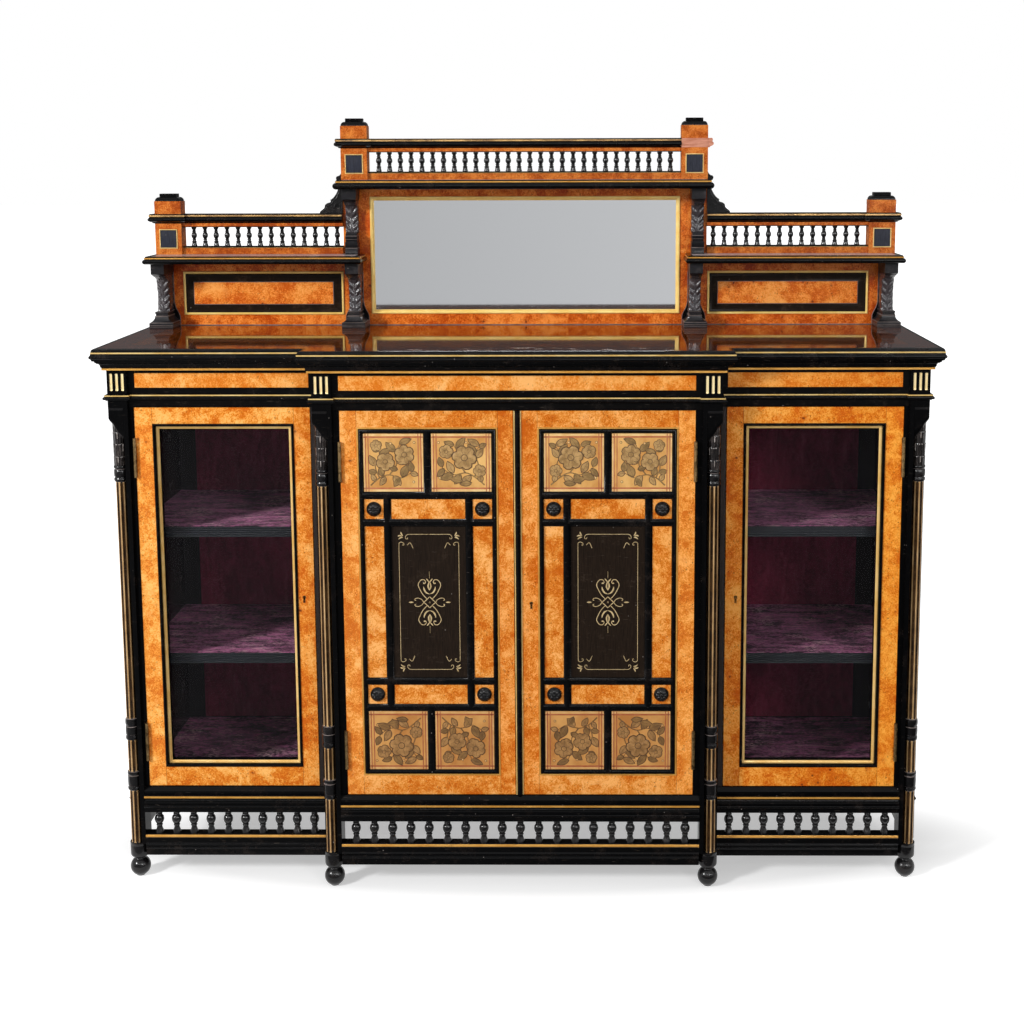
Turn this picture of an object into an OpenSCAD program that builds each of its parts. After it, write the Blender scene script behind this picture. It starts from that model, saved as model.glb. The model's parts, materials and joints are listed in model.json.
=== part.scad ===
// Breakfront side cabinet: two glazed wings, a pair of panelled doors between them,
// and a mirrored superstructure with three spindle galleries.
// Millimetres. +Z up, front faces -Y, origin at the middle of the footprint on the floor.

/* [Plan] */
// Width over the outer corner posts
body_w = 1590; // [1540:10:1640]
// Depth of a wing from post face to back
body_d = 395; // [380:5:420]
// How far the centre part stands forward of the wings
break_d = 40; // [40:1:48]
// Width over the two centre posts
centre_w = 785; // [765:5:805]
// Farthest reach of the worktop edge beyond the posts
nose_p = 25; // [25:0.5:30]

/* [Posts and feet] */
// Width and depth of a corner post
post_w = 38; // [36:0.5:40]
// Height of a turned foot with its drum
foot_h = 73; // [68:1:78]
// Radius of the foot's drum
drum_r = 18.5; // [16:0.5:18.5]
// Radius of the ball foot
ball_r = 20; // [17:0.5:21]
// Radius of the engaged column's shaft
column_r = 11.3; // [10:0.1:12]
// Radius of the column's rings
ring_r = 14; // [12.5:0.1:14.5]
// Width of a rear post
rear_post_w = 28; // [26:1:34]

/* [Heights] */
// Underside of the base rail above the floor
base_z = 50; // [44:1:56]
// Height of the base rail
base_rail_h = 44.5; // [40:0.5:50]
// Height of a base gallery spindle
base_spindle_h = 47; // [42:0.5:54]
// Height of the sill rail under the doors
sill_h = 50.5; // [46:0.5:56]
// Height of a door
door_h = 771.6; // [740:0.1:800]
// Height of the rail over the doors, up to the frieze
head_h = 26; // [24:1:32]
// Height of the frieze
frieze_h = 48; // [42:1:54]
// Height of the moulding under the worktop
cornice_h = 22; // [20:0.5:26]
// Thickness of the worktop
top_t = 21.5; // [20:0.5:25]

/* [Carcass] */
// Thickness of a side panel
side_t = 28; // [24:1:32]
// Thickness of a partition
partition_t = 22; // [18:1:24]
// Thickness of the floor and top boards
board_t = 18; // [15:1:21]
// Thickness of the back boards
back_t = 14; // [10:1:16]
// Thickness of a shelf
shelf_t = 21.5; // [18:0.5:24]
// Thickness of the velvet on shelves and backs
velvet_t = 2; // [1.5:0.5:3]
// Height of the upper shelf's top above the floor
shelf_hi_z = 715; // [690:1:740]
// Height of the lower shelf's top above the floor
shelf_lo_z = 453; // [430:1:480]
// Height of the centre shelf's top above the floor
shelf_mid_z = 584; // [560:1:610]

/* [Doors] */
// Thickness of a door
door_t = 24; // [22:0.5:26]
// How far the door face lies behind the post face
door_set = 10; // [9:0.5:12]
// Gap round a door
door_gap = 1.2; // [1:0.1:1.5]
// Gap at a door's free edge
free_gap = 1.5; // [1.3:0.1:2]
// Width of a wing jamb beside the post
jamb_w = 8.4; // [8:0.2:10]
// Width of a centre jamb beside the post
centre_jamb_w = 12; // [11:0.5:14]
// Width of a door stile
stile_w = 34; // [32:0.5:37]
// Height of a door's top rail
rail_top_h = 32; // [28:0.5:36]
// Height of a door's bottom rail
rail_bot_h = 39.5; // [36:0.5:44]
// Width of the ebonised glazing bead
bead_w = 5.5; // [4:0.5:6]
// Width of the gilt slip inside the bead
slip_w = 8; // [6:0.5:9]
// Thickness of the glass
glass_t = 3; // [2:0.5:4]
// Width of the mouldings on the centre doors
bar_w = 14.4; // [12:0.2:16]
// Width of the outer moulding on the centre doors
edge_bar_w = 12; // [10:0.5:14]
// Width of the bead that covers the meeting of the doors
meeting_w = 14.6; // [12:0.2:16]

/* [Hardware] */
// Length of a butt hinge
hinge_h = 78; // [70:1:84]
// Radius of the hinge knuckle
knuckle_r = 3.5; // [3.2:0.1:3.8]
// Radius of the hinge pin
pin_r = 1.5; // [1.3:0.1:1.8]
// Running clearance round a hinge pin
pin_fit = 0.06; // [0.03:0.01:0.09]
// Travel of a lock bolt
bolt_throw = 8; // [6:0.5:8.5]
// Radius of a flush bolt
flush_r = 3; // [2.5:0.1:3.4]
// Travel of a flush bolt
flush_throw = 10; // [8:0.5:12]

/* [Superstructure] */
// Clear height from the worktop to the lower gallery shelf
niche_h = 139; // [130:1:150]
// Clear height from the lower gallery shelf to the top shelf
upper_h = 139.5; // [130:0.5:150]
// Thickness of a gallery shelf
gallery_shelf_t = 16.5; // [15:0.5:19]
// How far the lower gallery shelf stands in front of the backboard
shelf_reach = 92; // [84:1:100]
// Thickness of the backboard
backboard_t = 20; // [18:1:24]
// Width of a gallery post
gallery_post_w = 56.5; // [50:0.5:60]
// Depth of a gallery post
gallery_post_d = 36; // [32:1:40]
// Height of a gallery post's lower block
gallery_block_h = 67; // [62:1:72]
// Height of the gallery rail and the post's collar
collar_h = 20; // [18:0.5:24]
// Number of spindles in each wing gallery
wing_spindles = 14; // [12:1:14]
// Number of spindles in the top gallery
top_spindles = 28; // [26:1:28]

/* [Hidden] */

$fn = 48;
ebony = "#1b1816";
burl = "#d8873a";
gilt = "#c9a24e";
brass = "#b59a5a";
velvet = "#4a2f42";
dark_wood = "#2c211b";

// Clearance between pieces that only rest beside each other
seat = 0.2;
// Width of a glue line between a door's stiles and rails
glue = 0.1;

// Places from side to side, as distances from the middle
wing_x = body_w / 2;
centre_x = centre_w / 2;
post_in_x = wing_x - post_w;
jamb_x = post_in_x - jamb_w;
side_in_x = wing_x - side_t;
mid_post_in_x = centre_x - post_w;
mid_jamb_x = mid_post_in_x - centre_jamb_w;
partition_in_x = centre_x - partition_t;
wing_jamb_t = 11.5;
wing_free_jamb_x = centre_x + wing_jamb_t;

// Places from front to back
back_y = (body_d + break_d + nose_p) / 2;
wing_y = back_y - body_d;
centre_y = wing_y - break_d;
rear_post_d = 38;
rear_post_y = back_y - rear_post_d;
wing_post_back_y = wing_y + post_w;
inner_back_y = back_y - back_t;
frieze_set = 8;
rail_t = 22;

// Levels above the floor
ledge_z = base_z + base_rail_h;
sill_z = ledge_z + base_spindle_h;
door_sill_z = sill_z + sill_h;
door_z = door_sill_z + door_gap;
door_top_z = door_z + door_h;
head_z = door_top_z + door_gap;
frieze_z = head_z + head_h;
cornice_z = frieze_z + frieze_h;
top_under_z = cornice_z + cornice_h;
top_z = top_under_z + top_t;
floor_top_z = door_sill_z - 2;

// Superstructure
board_y = back_y - backboard_t;
shelf1_z = top_z + niche_h;
shelf1_top_z = shelf1_z + gallery_shelf_t;
shelf2_z = shelf1_top_z + upper_h;
shelf2_top_z = shelf2_z + gallery_shelf_t + 3;
centre_board_x = centre_x - 0.5;
upper_post_in_x = centre_board_x - gallery_post_w;
gallery_y = back_y - gallery_post_d;
shelf1_y = board_y - shelf_reach;
shelf1_in_x = centre_board_x - 49;
shelf_over = 7;
shelf2_y = board_y - 70;
rail_d = 22;
rail_y = gallery_y + (gallery_post_d - rail_d) / 2;
foot_rail_h = 17;

// Points of an arc from angle a0 to a1
function arc(c, r, a0, a1, n = 8) =
    [for (i = [0:n]) let (a = a0 + (a1 - a0) * i / n) [c[0] + r * cos(a), c[1] + r * sin(a)]];

module both() {
    children();
    mirror([1, 0, 0]) children();
}

module block(x0, x1, y0, y1, z0, z1) {
    translate([x0, y0, z0]) cube([x1 - x0, y1 - y0, z1 - z0]);
}

// A moulding on a face that looks along -Y, from x0 to x1. Profile points are
// [distance in front of the face, height]. An end is cut square (0), mitred round
// an outer corner (1) or into an inner corner (-1).
module run(x0, x1, face, end0, end1, profile) {
    out = 40;
    inn = 12;
    intersection() {
        translate([x0 - out, face, 0]) rotate([90, 0, 90])
            linear_extrude(x1 - x0 + 2 * out) polygon([for (p = profile) [-p[0], p[1]]]);
        linear_extrude(2 * top_z) polygon([[x0 - end0 * out, face - out],
            [x1 + end1 * out, face - out], [x1 - end1 * inn, face + inn],
            [x0 + end0 * inn, face + inn]]);
    }
}

// The same moulding on a face that looks along +X at x, from y0 to y1
module run_side(y0, y1, x, end0, end1, profile) {
    rotate(90) run(y0, y1, -x, end0, end1, profile);
}

// A moulding that follows the front and sides of the breakfront plan
module run_breakfront(profile) {
    run(-centre_x, centre_x, centre_y, 1, 1, profile);
    both() {
        run_side(centre_y, wing_y, centre_x, 1, -1, profile);
        run(centre_x, wing_x, wing_y, -1, 1, profile);
        run_side(wing_y, back_y, wing_x, 1, 0, profile);
    }
}

// Four mitred strips round a rectangle in the XZ plane, from y0 back to y1
module strip_frame(x0, x1, z0, z1, w, y0, y1) {
    for (s = [0, 1]) {
        zs = s == 0 ? z0 : z1;
        zi = s == 0 ? z0 + w : z1 - w;
        translate([0, y1, 0]) rotate([90, 0, 0]) linear_extrude(y1 - y0)
            polygon([[x0, zs], [x1, zs], [x1 - w, zi], [x0 + w, zi]]);
        xs = s == 0 ? x0 : x1;
        xi = s == 0 ? x0 + w : x1 - w;
        translate([0, y1, 0]) rotate([90, 0, 0]) linear_extrude(y1 - y0)
            polygon([[xs, z0], [xs, z1], [xi, z1 - w], [xi, z0 + w]]);
    }
}

// Carcass

side_foot_z = ledge_z - 6;

module side_panels() {
    field_cut = 5;
    color(ebony) both() difference() {
        block(side_in_x, wing_x, wing_post_back_y, rear_post_y, side_foot_z, cornice_z);
        block(wing_x - field_cut, wing_x + 1, wing_post_back_y + 34, rear_post_y - 34,
            door_z + 44, door_top_z - 36);
    }
}

module partitions() {
    lock_z = shelf_mid_z - 4;
    color(dark_wood) both() difference() {
        union() {
            block(partition_in_x, centre_x, wing_y, rear_post_y, sill_z, cornice_z);
            block(centre_x - 1, wing_free_jamb_x, wing_y + door_set, wing_post_back_y,
                door_sill_z, head_z);
        }
        block(wing_free_jamb_x - bolt_throw - 1, wing_free_jamb_x + 1,
            wing_y + door_set + 6, wing_y + door_set + 16, lock_z - 9, lock_z + 9);
    }
}

module floor_and_top_boards() {
    color(dark_wood) {
        both() {
            block(centre_x, side_in_x, wing_post_back_y, inner_back_y,
                floor_top_z - board_t, floor_top_z);
            block(centre_x, side_in_x, wing_post_back_y, inner_back_y, head_z, head_z + board_t);
            block(centre_x, post_in_x, wing_y + frieze_set + rail_t, wing_post_back_y + 1,
                head_z, head_z + board_t);
        }
        block(-partition_in_x, partition_in_x, wing_y, inner_back_y,
            floor_top_z - board_t, floor_top_z);
        block(-partition_in_x, partition_in_x, wing_y, inner_back_y,
            head_z, head_z + board_t);
    }
}

module back_boards() {
    color(dark_wood) {
        both() block(centre_x, side_in_x, inner_back_y, back_y, sill_z, top_under_z);
        block(-partition_in_x, partition_in_x, inner_back_y, back_y, sill_z, top_under_z);
    }
}

column_set = 15.5;
notch = 29;

// A front post at the corner x, face y, with the notch for its column
module front_post(x, y, depth, jamb) {
    difference() {
        union() {
            block(x - post_w, x, y, y + depth, foot_h, frieze_z);
            block(x - post_w - jamb, x - post_w + 1, y + door_set, y + depth,
                door_sill_z, head_z);
        }
        block(x - notch, x + 1, y - 1, y + notch + 1, foot_h - 1, door_top_z + 1);
    }
}

module corner_posts() {
    color(ebony) both() {
        difference() {
            front_post(wing_x, wing_y, post_w, jamb_w);
            hinge_mortises(jamb_x, wing_y, 1);
        }
        difference() {
            front_post(centre_x, centre_y, break_d, centre_jamb_w);
            hinge_mortises(mid_jamb_x, centre_y, 1);
        }
        block(wing_x - rear_post_w, wing_x, rear_post_y, back_y, foot_h, cornice_z);
        block(wing_x - rear_post_w, wing_x - 10, rear_post_y, back_y, cornice_z - 1, top_under_z);
        block(partition_in_x, centre_x, rear_post_y, back_y, foot_h, top_under_z);
    }
}

// Turned column with a bud at the top and two ring groups
module column() {
    z0 = foot_h;
    z1 = door_z + 30.8;
    z2 = z1 + 66;
    z3 = door_top_z - 146.8;
    rotate_extrude() polygon(concat([[0, z0], [column_r, z0], [column_r, z1 - 40]],
        [[ring_r, z1 - 38], [ring_r, z1 - 33], [ring_r - 2, z1 - 31]],
        [[ring_r - 0.5, z1 - 29], [ring_r, z1 - 20], [ring_r - 1, z1 - 9]],
        [[ring_r - 2, z1 - 7], [ring_r, z1 - 5], [ring_r, z1 - 1], [column_r, z1]],
        [[column_r, z2], [ring_r, z2 + 2], [ring_r, z2 + 9], [ring_r - 2, z2 + 11]],
        [[ring_r - 1, z2 + 30], [ring_r, z2 + 36], [ring_r, z2 + 43], [column_r, z2 + 45]],
        [[column_r, z3], [ring_r, z3 + 3], [ring_r, z3 + 10], [ring_r - 3, z3 + 13]],
        [[ring_r - 2, z3 + 18], [ring_r, z3 + 23], [ring_r, z3 + 29], [ring_r - 3, z3 + 32]],
        [[ring_r - 1, z3 + 50], [ring_r, z3 + 80], [ring_r - 1.5, z3 + 110]],
        [[ring_r - 6, z3 + 132], [3, z3 + 144], [0, z3 + 145]]));
}

// The column's rings are cut flat where they meet the post
module engaged_column(x, y) {
    intersection() {
        translate([x - column_set, y + column_set, 0]) column();
        block(x - notch + seat, x + 10, y - 10, y + notch + 1 - seat, foot_h, door_top_z + 1);
    }
}

module columns() {
    color(ebony) both() {
        engaged_column(wing_x, wing_y);
        engaged_column(centre_x, centre_y);
    }
}

module turned_foot() {
    neck = 11;
    ball_top = 2 * ball_r - 1.5;
    rotate_extrude() polygon(concat([[0, 0], [ball_r * 0.45, 0]],
        arc([0, ball_r - 1], ball_r, -60, 55, 14),
        [[neck, ball_top + 1], [neck, ball_top + 3], [drum_r - 4, ball_top + 6]],
        [[drum_r - 1, ball_top + 12], [drum_r, ball_top + 20], [drum_r, foot_h - 3]],
        [[drum_r - 1, foot_h], [0, foot_h]]));
}

module turned_feet() {
    rear_y = back_y - ball_r - 1;
    color(ebony) both() {
        translate([wing_x - post_w / 2, wing_y + post_w / 2, 0]) turned_foot();
        translate([centre_x - post_w / 2, centre_y + post_w / 2, 0]) turned_foot();
        translate([wing_x - rear_post_w / 2 - 2, rear_y, 0]) turned_foot();
        translate([centre_x - partition_t / 2, rear_y, 0]) turned_foot();
    }
}

// Worktop, frieze and mouldings

edge_in = 12;

module worktop() {
    color(burl) {
        block(-wing_x - edge_in, wing_x + edge_in, wing_y - edge_in, back_y,
            top_under_z, top_z);
        block(-centre_x - edge_in, centre_x + edge_in, centre_y - edge_in, wing_y,
            top_under_z, top_z);
    }
}

module cornice() {
    z = cornice_z;
    n = nose_p;
    profile = concat([[-10, z], [n - 18, z], [n - 18, z + 6], [n - 16.5, z + 7]],
        [[n - 12, z + 11], [n - 6, z + 18.5], [n - 3, z + 23], [n - 1.5, z + 26]],
        arc([n - 3.5, z + 30], 3.5, -60, 60, 6),
        [[n - 2.5, z + 33.8], [n - 2.5, z + 37], [n - 3.5, z + 37.6]],
        arc([n - 9, top_z - 5.5], 5.5, 10, 90, 5),
        [[edge_in, top_z], [edge_in, top_under_z], [-10, top_under_z]]);
    color(ebony) run_breakfront(profile);
}

module frieze_rails() {
    bolt_x = -mid_free_x - 15;
    color(ebony) {
        both() block(centre_x, post_in_x, wing_y + frieze_set, wing_y + frieze_set + rail_t,
            head_z, cornice_z);
        difference() {
            block(-mid_post_in_x, mid_post_in_x, centre_y + frieze_set,
                centre_y + break_d, head_z, cornice_z);
            translate([bolt_x, flush_y, head_z - 1])
                cylinder(r = flush_r + 0.5, h = flush_throw + 3);
        }
    }
}

module fluted_block(x, y, depth) {
    difference() {
        block(x - post_w, x, y, y + depth, frieze_z, cornice_z);
        for (i = [-1, 0, 1])
            translate([x - post_w / 2 + i * 11, y - 1, frieze_z + 7])
                cylinder(r = 3, h = frieze_h - 14);
    }
}

module frieze_blocks() {
    color(ebony) both() {
        fluted_block(wing_x, wing_y, post_w);
        fluted_block(centre_x, centre_y, break_d);
    }
}

function head_profile(back) = let (z = frieze_z) concat(
    [[back, z], [4, z], [5, z - 1], [5, z - 2.5]], arc([4.5, z - 6], 3.5, 70, -70, 6),
    [[3, z - 10], [3, z - 12], [back, z - 12]]);

module frieze_moulding() {
    step = frieze_set;
    p = head_profile(0);
    color(ebony) {
        run(-mid_post_in_x, mid_post_in_x, centre_y + step, -1, -1, p);
        both() {
            run_side(centre_y, wing_y + step, centre_x, 1, -1, p);
            run(mid_post_in_x, centre_x, centre_y, 1, 1, p);
            mirror([1, 0, 0]) run_side(centre_y, centre_y + step, -mid_post_in_x, 1, -1, p);
            run(centre_x, post_in_x, wing_y + step, -1, -1, p);
            mirror([1, 0, 0]) run_side(wing_y, wing_y + step, -post_in_x, 1, -1, p);
            run(post_in_x, wing_x, wing_y, 1, 1, p);
            run_side(wing_y, back_y, wing_x, 1, 0, p);
        }
    }
}

function sill_profile(depth) = let (z = sill_z, t = sill_h) concat(
    [[-depth, z], [2, z], [2, z + 9]], arc([2, z + 12.5], 3, -90, 90, 6),
    [[1, z + 16], [1, z + 20], [-3, z + 24], [-2, z + 30], [2, z + 32], [2, z + 37]],
    [[-1, z + 38], [-1, z + 43], [1, z + 43.5], [-door_set + 2, z + t], [-depth, z + t]]);

module extrude_x(x0, x1, face, profile) {
    translate([x0, face, 0]) rotate([90, 0, 90]) linear_extrude(x1 - x0)
        polygon([for (p = profile) [-p[0], p[1]]]);
}

module sill_rails() {
    bolt_x = -mid_free_x - 15;
    color(ebony) {
        both() extrude_x(centre_x, post_in_x, wing_y, sill_profile(post_w));
        difference() {
            extrude_x(-mid_post_in_x, mid_post_in_x, centre_y, sill_profile(break_d));
            translate([bolt_x, flush_y, door_sill_z - flush_throw - 2])
                cylinder(r = flush_r + 0.5, h = flush_throw + 3);
        }
        both() {
            run_side(wing_post_back_y, rear_post_y, wing_x, 0, 0,
                concat([[0, sill_z], [2, sill_z], [2, sill_z + 9]],
                    arc([2, sill_z + 12.5], 3, -90, 90, 6), [[0, sill_z + 16]]));
            run_side(wing_post_back_y, rear_post_y, wing_x, 0, 0,
                [[0, sill_z + 32], [2, sill_z + 32], [2, sill_z + 37], [0, sill_z + 37]]);
        }
    }
}

function base_profile(depth) = let (z = base_z, t = base_rail_h) concat(
    [[-depth, z], [0, z], [0, z + 12]], arc([0, z + 15.5], 2.5, -90, 90, 5),
    arc([0, z + 23.5], 2.5, -90, 90, 5), [[0, z + 30], [-2, z + 36], [1.5, z + 37]],
    [[1.5, z + 43], [0, z + t], [-depth, z + t]]);

module base_rails() {
    behind = 28;
    color(ebony) {
        both() {
            extrude_x(centre_x, post_in_x, wing_y, base_profile(rail_t));
            block(centre_x - behind, centre_x + 1, wing_y, wing_y + rail_t, base_z, ledge_z);
        }
        extrude_x(-mid_post_in_x, mid_post_in_x, centre_y, base_profile(rail_t));
    }
}

module base_spindle() {
    h = base_spindle_h;
    rotate_extrude() polygon(concat([[0, 0], [8.6, 0], [8.4, 3], [6.2, 9], [5, 13], [5, 14.5]],
        [[6.2, 16], [5, 17.3], [6, 19], [8.6, 24], [9.4, 29], [8.6, 33.5], [5.5, 37.5]],
        [[6.4, 40], [5.2, 41.5], [5.2, 43], [6.6, h - 2], [6.6, h], [0, h]]));
}

base_wing_pitch = (post_in_x - centre_x) / 10.45;
base_mid_pitch = 2 * mid_post_in_x / 19.5;

module base_spindles() {
    wing_mid = (post_in_x + centre_x) / 2;
    color(ebony) {
        both() for (i = [0:9])
            translate([wing_mid + (i - 4.5) * base_wing_pitch, wing_y + rail_t / 2, ledge_z])
                base_spindle();
        for (i = [-9:9])
            translate([i * base_mid_pitch, centre_y + rail_t / 2, ledge_z]) base_spindle();
    }
}

// Interior

shelf_y = wing_y + 59;
shelf_back_y = inner_back_y - velvet_t - seat;
bearer = 12;

module wing_shelf(z) {
    nose = 2.6;
    reeds = [for (i = [0:4]) each arc([0, z - shelf_t + 2.15 + i * 4.3], nose - 0.6, -80, 80, 4)];
    extrude_x(centre_x + seat, side_in_x - seat, shelf_y,
        concat([[shelf_y - shelf_back_y, z - shelf_t]], reeds, [[shelf_y - shelf_back_y, z]]));
    for (x = [centre_x, side_in_x - bearer])
        block(x, x + bearer, shelf_y + 6, shelf_back_y - 6, z - shelf_t - bearer, z - shelf_t);
}

module shelves_and_bearers() {
    color(dark_wood) {
        both() {
            wing_shelf(shelf_hi_z);
            wing_shelf(shelf_lo_z);
            block(partition_in_x - bearer, partition_in_x, centre_y + 90, inner_back_y - 6,
                shelf_mid_z - shelf_t - bearer, shelf_mid_z - shelf_t);
        }
        block(-partition_in_x + seat, partition_in_x - seat, centre_y + 84, inner_back_y - seat,
            shelf_mid_z - shelf_t, shelf_mid_z);
    }
}

velvet_edge = 36;

module velvet_linings() {
    color(velvet) both() {
        for (z = [shelf_hi_z, shelf_lo_z])
            block(centre_x + seat, side_in_x - seat, shelf_y, shelf_back_y, z, z + velvet_t);
        block(centre_x + seat, side_in_x - seat, wing_post_back_y + seat, shelf_back_y,
            floor_top_z, floor_top_z + velvet_t);
        block(centre_x + 4, side_in_x - velvet_edge, inner_back_y - velvet_t, inner_back_y,
            floor_top_z, head_z - seat);
    }
}

// Hinges. The pin stands just in front of the door face, in the gap at the hinged edge.
pin_out = knuckle_r + 0.1;
leaf_t = 1.6;
leaf_d = 17;
hinge_hi_z = door_top_z - 99;
hinge_lo_z = door_z + 93;
knuckle_gap = 0.25;

// Mortises for the leaves at a jamb or door edge; into = 1 cuts away from the middle
module hinge_mortises(edge_x, face_y, into) {
    for (z = [hinge_lo_z, hinge_hi_z])
        block(into > 0 ? edge_x - 1 : edge_x - leaf_t, into > 0 ? edge_x + leaf_t : edge_x + 1,
            face_y + door_set - 1, face_y + door_set + leaf_d, z - hinge_h / 2, z + hinge_h / 2);
}

// One leaf with its knuckles. x is the pin, edge the wood face that carries the leaf.
module hinge_leaf(x, edge, face_y, z, fixed) {
    y = face_y + door_set - pin_out;
    part_h = hinge_h / 5;
    first = fixed ? 0 : 1;
    lo = fixed ? edge : edge - leaf_t;
    difference() {
        union() {
            block(lo, lo + leaf_t, y + (fixed ? 0.4 : 0.4), face_y + door_set + leaf_d,
                z - hinge_h / 2, z + hinge_h / 2);
            for (i = [first:2:4])
                translate([x, y, z - hinge_h / 2 + i * part_h + (fixed ? 0 : knuckle_gap)])
                    cylinder(r = knuckle_r, h = part_h - (fixed ? 0 : 2 * knuckle_gap));
        }
        // Room for the other leaf's knuckles
        for (i = [1 - first:2:4])
            translate([x, y, z - hinge_h / 2 + i * part_h - (fixed ? 0 : knuckle_gap)])
                cylinder(r = knuckle_r + 0.4, h = part_h + (fixed ? 0 : 2 * knuckle_gap));
        if (!fixed) translate([x, y, z - hinge_h / 2 - 1])
            cylinder(r = pin_r + pin_fit, h = hinge_h + 2);
    }
    if (fixed) translate([x, y, z - hinge_h / 2]) cylinder(r = pin_r, h = hinge_h);
}

module hinge_pair(jamb, face_y, fixed) {
    pin_x = jamb - door_gap / 2;
    for (z = [hinge_lo_z, hinge_hi_z])
        hinge_leaf(pin_x, fixed ? jamb : jamb - door_gap, face_y, z, fixed);
}

module frame_hinges() {
    color(brass) both() {
        hinge_pair(jamb_x, wing_y, true);
        hinge_pair(mid_jamb_x, centre_y, true);
    }
}

// Doors, each drawn for the right-hand side and mirrored for the left

wing_door_out_x = jamb_x - door_gap;
wing_door_in_x = wing_free_jamb_x + free_gap;
mid_door_out_x = mid_jamb_x - door_gap;
mid_free_x = 8.9;
meeting_x = 7.4;
lock_z = shelf_mid_z - 4;
wing_key_d = 20.5;
mid_key_d = 32;
flush_y = centre_y + door_set + door_t / 2;

// Stiles and rails as four solids
module door_frame(x0, x1, stile0, stile1, face_y) {
    y0 = face_y + door_set;
    y1 = y0 + door_t;
    block(x0, x0 + stile0, y0, y1, door_z, door_top_z);
    block(x1 - stile1, x1, y0, y1, door_z, door_top_z);
    block(x0 + stile0 + glue, x1 - stile1 - glue, y0, y1, door_top_z - rail_top_h, door_top_z);
    block(x0 + stile0 + glue, x1 - stile1 - glue, y0, y1, door_z, door_z + rail_bot_h);
}

// Space for the lock case, its bolt and the keyhole; dir points from the case to the edge
module lock_cut(edge_x, dir, face_y, key_d) {
    y = face_y + door_set;
    c = 0.1;
    lock_span(edge_x, dir, 4, key_d + 8, y + 6 - c, y + 16 + c, lock_z - 26, lock_z + 26);
    lock_span(edge_x, dir, -1, 5, y + 8 - c, y + 14 + c, lock_z - 7 - c, lock_z + 7 + c);
    keyhole(edge_x, dir, y - 1, 8, key_d);
}

// A block between two distances in from the door's edge
module lock_span(edge_x, dir, d0, d1, y0, y1, z0, z1) {
    a = edge_x - dir * d0;
    b = edge_x - dir * d1;
    block(min(a, b), max(a, b), y0, y1, z0, z1);
}

module keyhole(edge_x, dir, y, depth, key_d) {
    x = edge_x - dir * key_d;
    translate([x, y, lock_z + 4]) rotate([-90, 0, 0]) cylinder(r = 2.8, h = depth);
    block(x - 1.6, x + 1.6, y, y + depth, lock_z - 7, lock_z + 4);
}

module lock_case(edge_x, dir, face_y, key_d) {
    y = face_y + door_set;
    difference() {
        lock_span(edge_x, dir, 4.1, key_d + 7.9, y + 6, y + 16, lock_z - 25.9, lock_z + 25.9);
        lock_span(edge_x, dir, 3, key_d + 6.1, y + 7.9, y + 14.1, lock_z - 7.1, lock_z + 7.1);
        keyhole(edge_x, dir, y + 5, 4, key_d);
    }
}

module lock_bolt(edge_x, dir, face_y, key_d) {
    y = face_y + door_set;
    difference() {
        lock_span(edge_x, dir, 0.3, key_d + 5, y + 8, y + 14, lock_z - 7, lock_z + 7);
        lock_span(edge_x, dir, key_d - 6, key_d + 6, y + 7, y + 11, lock_z - 8, lock_z + 8);
    }
}

module wing_frame() {
    difference() {
        door_frame(wing_door_in_x, wing_door_out_x, stile_w - 2, stile_w, wing_y);
        hinge_mortises(wing_door_out_x, wing_y, -1);
        lock_cut(wing_door_in_x, -1, wing_y, wing_key_d);
    }
}

glaze_x0 = wing_door_in_x + stile_w - 2;
glaze_x1 = wing_door_out_x - stile_w;
glaze_z0 = door_z + rail_bot_h;
glaze_z1 = door_top_z - rail_top_h;
door_face_y = wing_y + door_set;
glass_y = door_face_y + 13;

module wing_bead() {
    strip_frame(glaze_x0, glaze_x1, glaze_z0, glaze_z1, bead_w, door_face_y - 3, glass_y);
    strip_frame(glaze_x0, glaze_x1, glaze_z0, glaze_z1, bead_w + slip_w - 2,
        glass_y + glass_t, door_face_y + door_t - 1);
}

module wing_slip() {
    strip_frame(glaze_x0 + bead_w, glaze_x1 - bead_w, glaze_z0 + bead_w, glaze_z1 - bead_w,
        slip_w, door_face_y + 4, glass_y);
}

module wing_glass() {
    block(glaze_x0 + seat, glaze_x1 - seat, glass_y, glass_y + glass_t,
        glaze_z0 + seat, glaze_z1 - seat);
}

module left_door_frame() { color(burl) mirror([1, 0, 0]) wing_frame(); }
module left_door_bead() { color(ebony) mirror([1, 0, 0]) wing_bead(); }
module left_door_slip() { color(gilt) mirror([1, 0, 0]) wing_slip(); }
module left_door_glass() { color("#a8b4b8", 0.35) mirror([1, 0, 0]) wing_glass(); }
module left_door_hinges() { color(brass) mirror([1, 0, 0]) hinge_pair(jamb_x, wing_y, false); }
module left_door_lock() { color(brass) mirror([1, 0, 0]) lock_case(wing_door_in_x, -1, wing_y, wing_key_d); }
module left_door_bolt() { color(brass) mirror([1, 0, 0]) lock_bolt(wing_door_in_x, -1, wing_y, wing_key_d); }

module right_door_frame() { color(burl) wing_frame(); }
module right_door_bead() { color(ebony) wing_bead(); }
module right_door_slip() { color(gilt) wing_slip(); }
module right_door_glass() { color("#a8b4b8", 0.35) wing_glass(); }
module right_door_hinges() { color(brass) hinge_pair(jamb_x, wing_y, false); }
module right_door_lock() { color(brass) lock_case(wing_door_in_x, -1, wing_y, wing_key_d); }
module right_door_bolt() { color(brass) lock_bolt(wing_door_in_x, -1, wing_y, wing_key_d); }

// Centre doors: the panel's opening is the same on both
panel_x0 = 38;
panel_x1 = mid_door_out_x - stile_w + 2;
panel_z0 = door_z + rail_bot_h;
panel_z1 = door_top_z - rail_top_h;
mid_face_y = centre_y + door_set;
panel_y = mid_face_y + 2;
panel_t = 14;
tile_t = 1.5;

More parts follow.
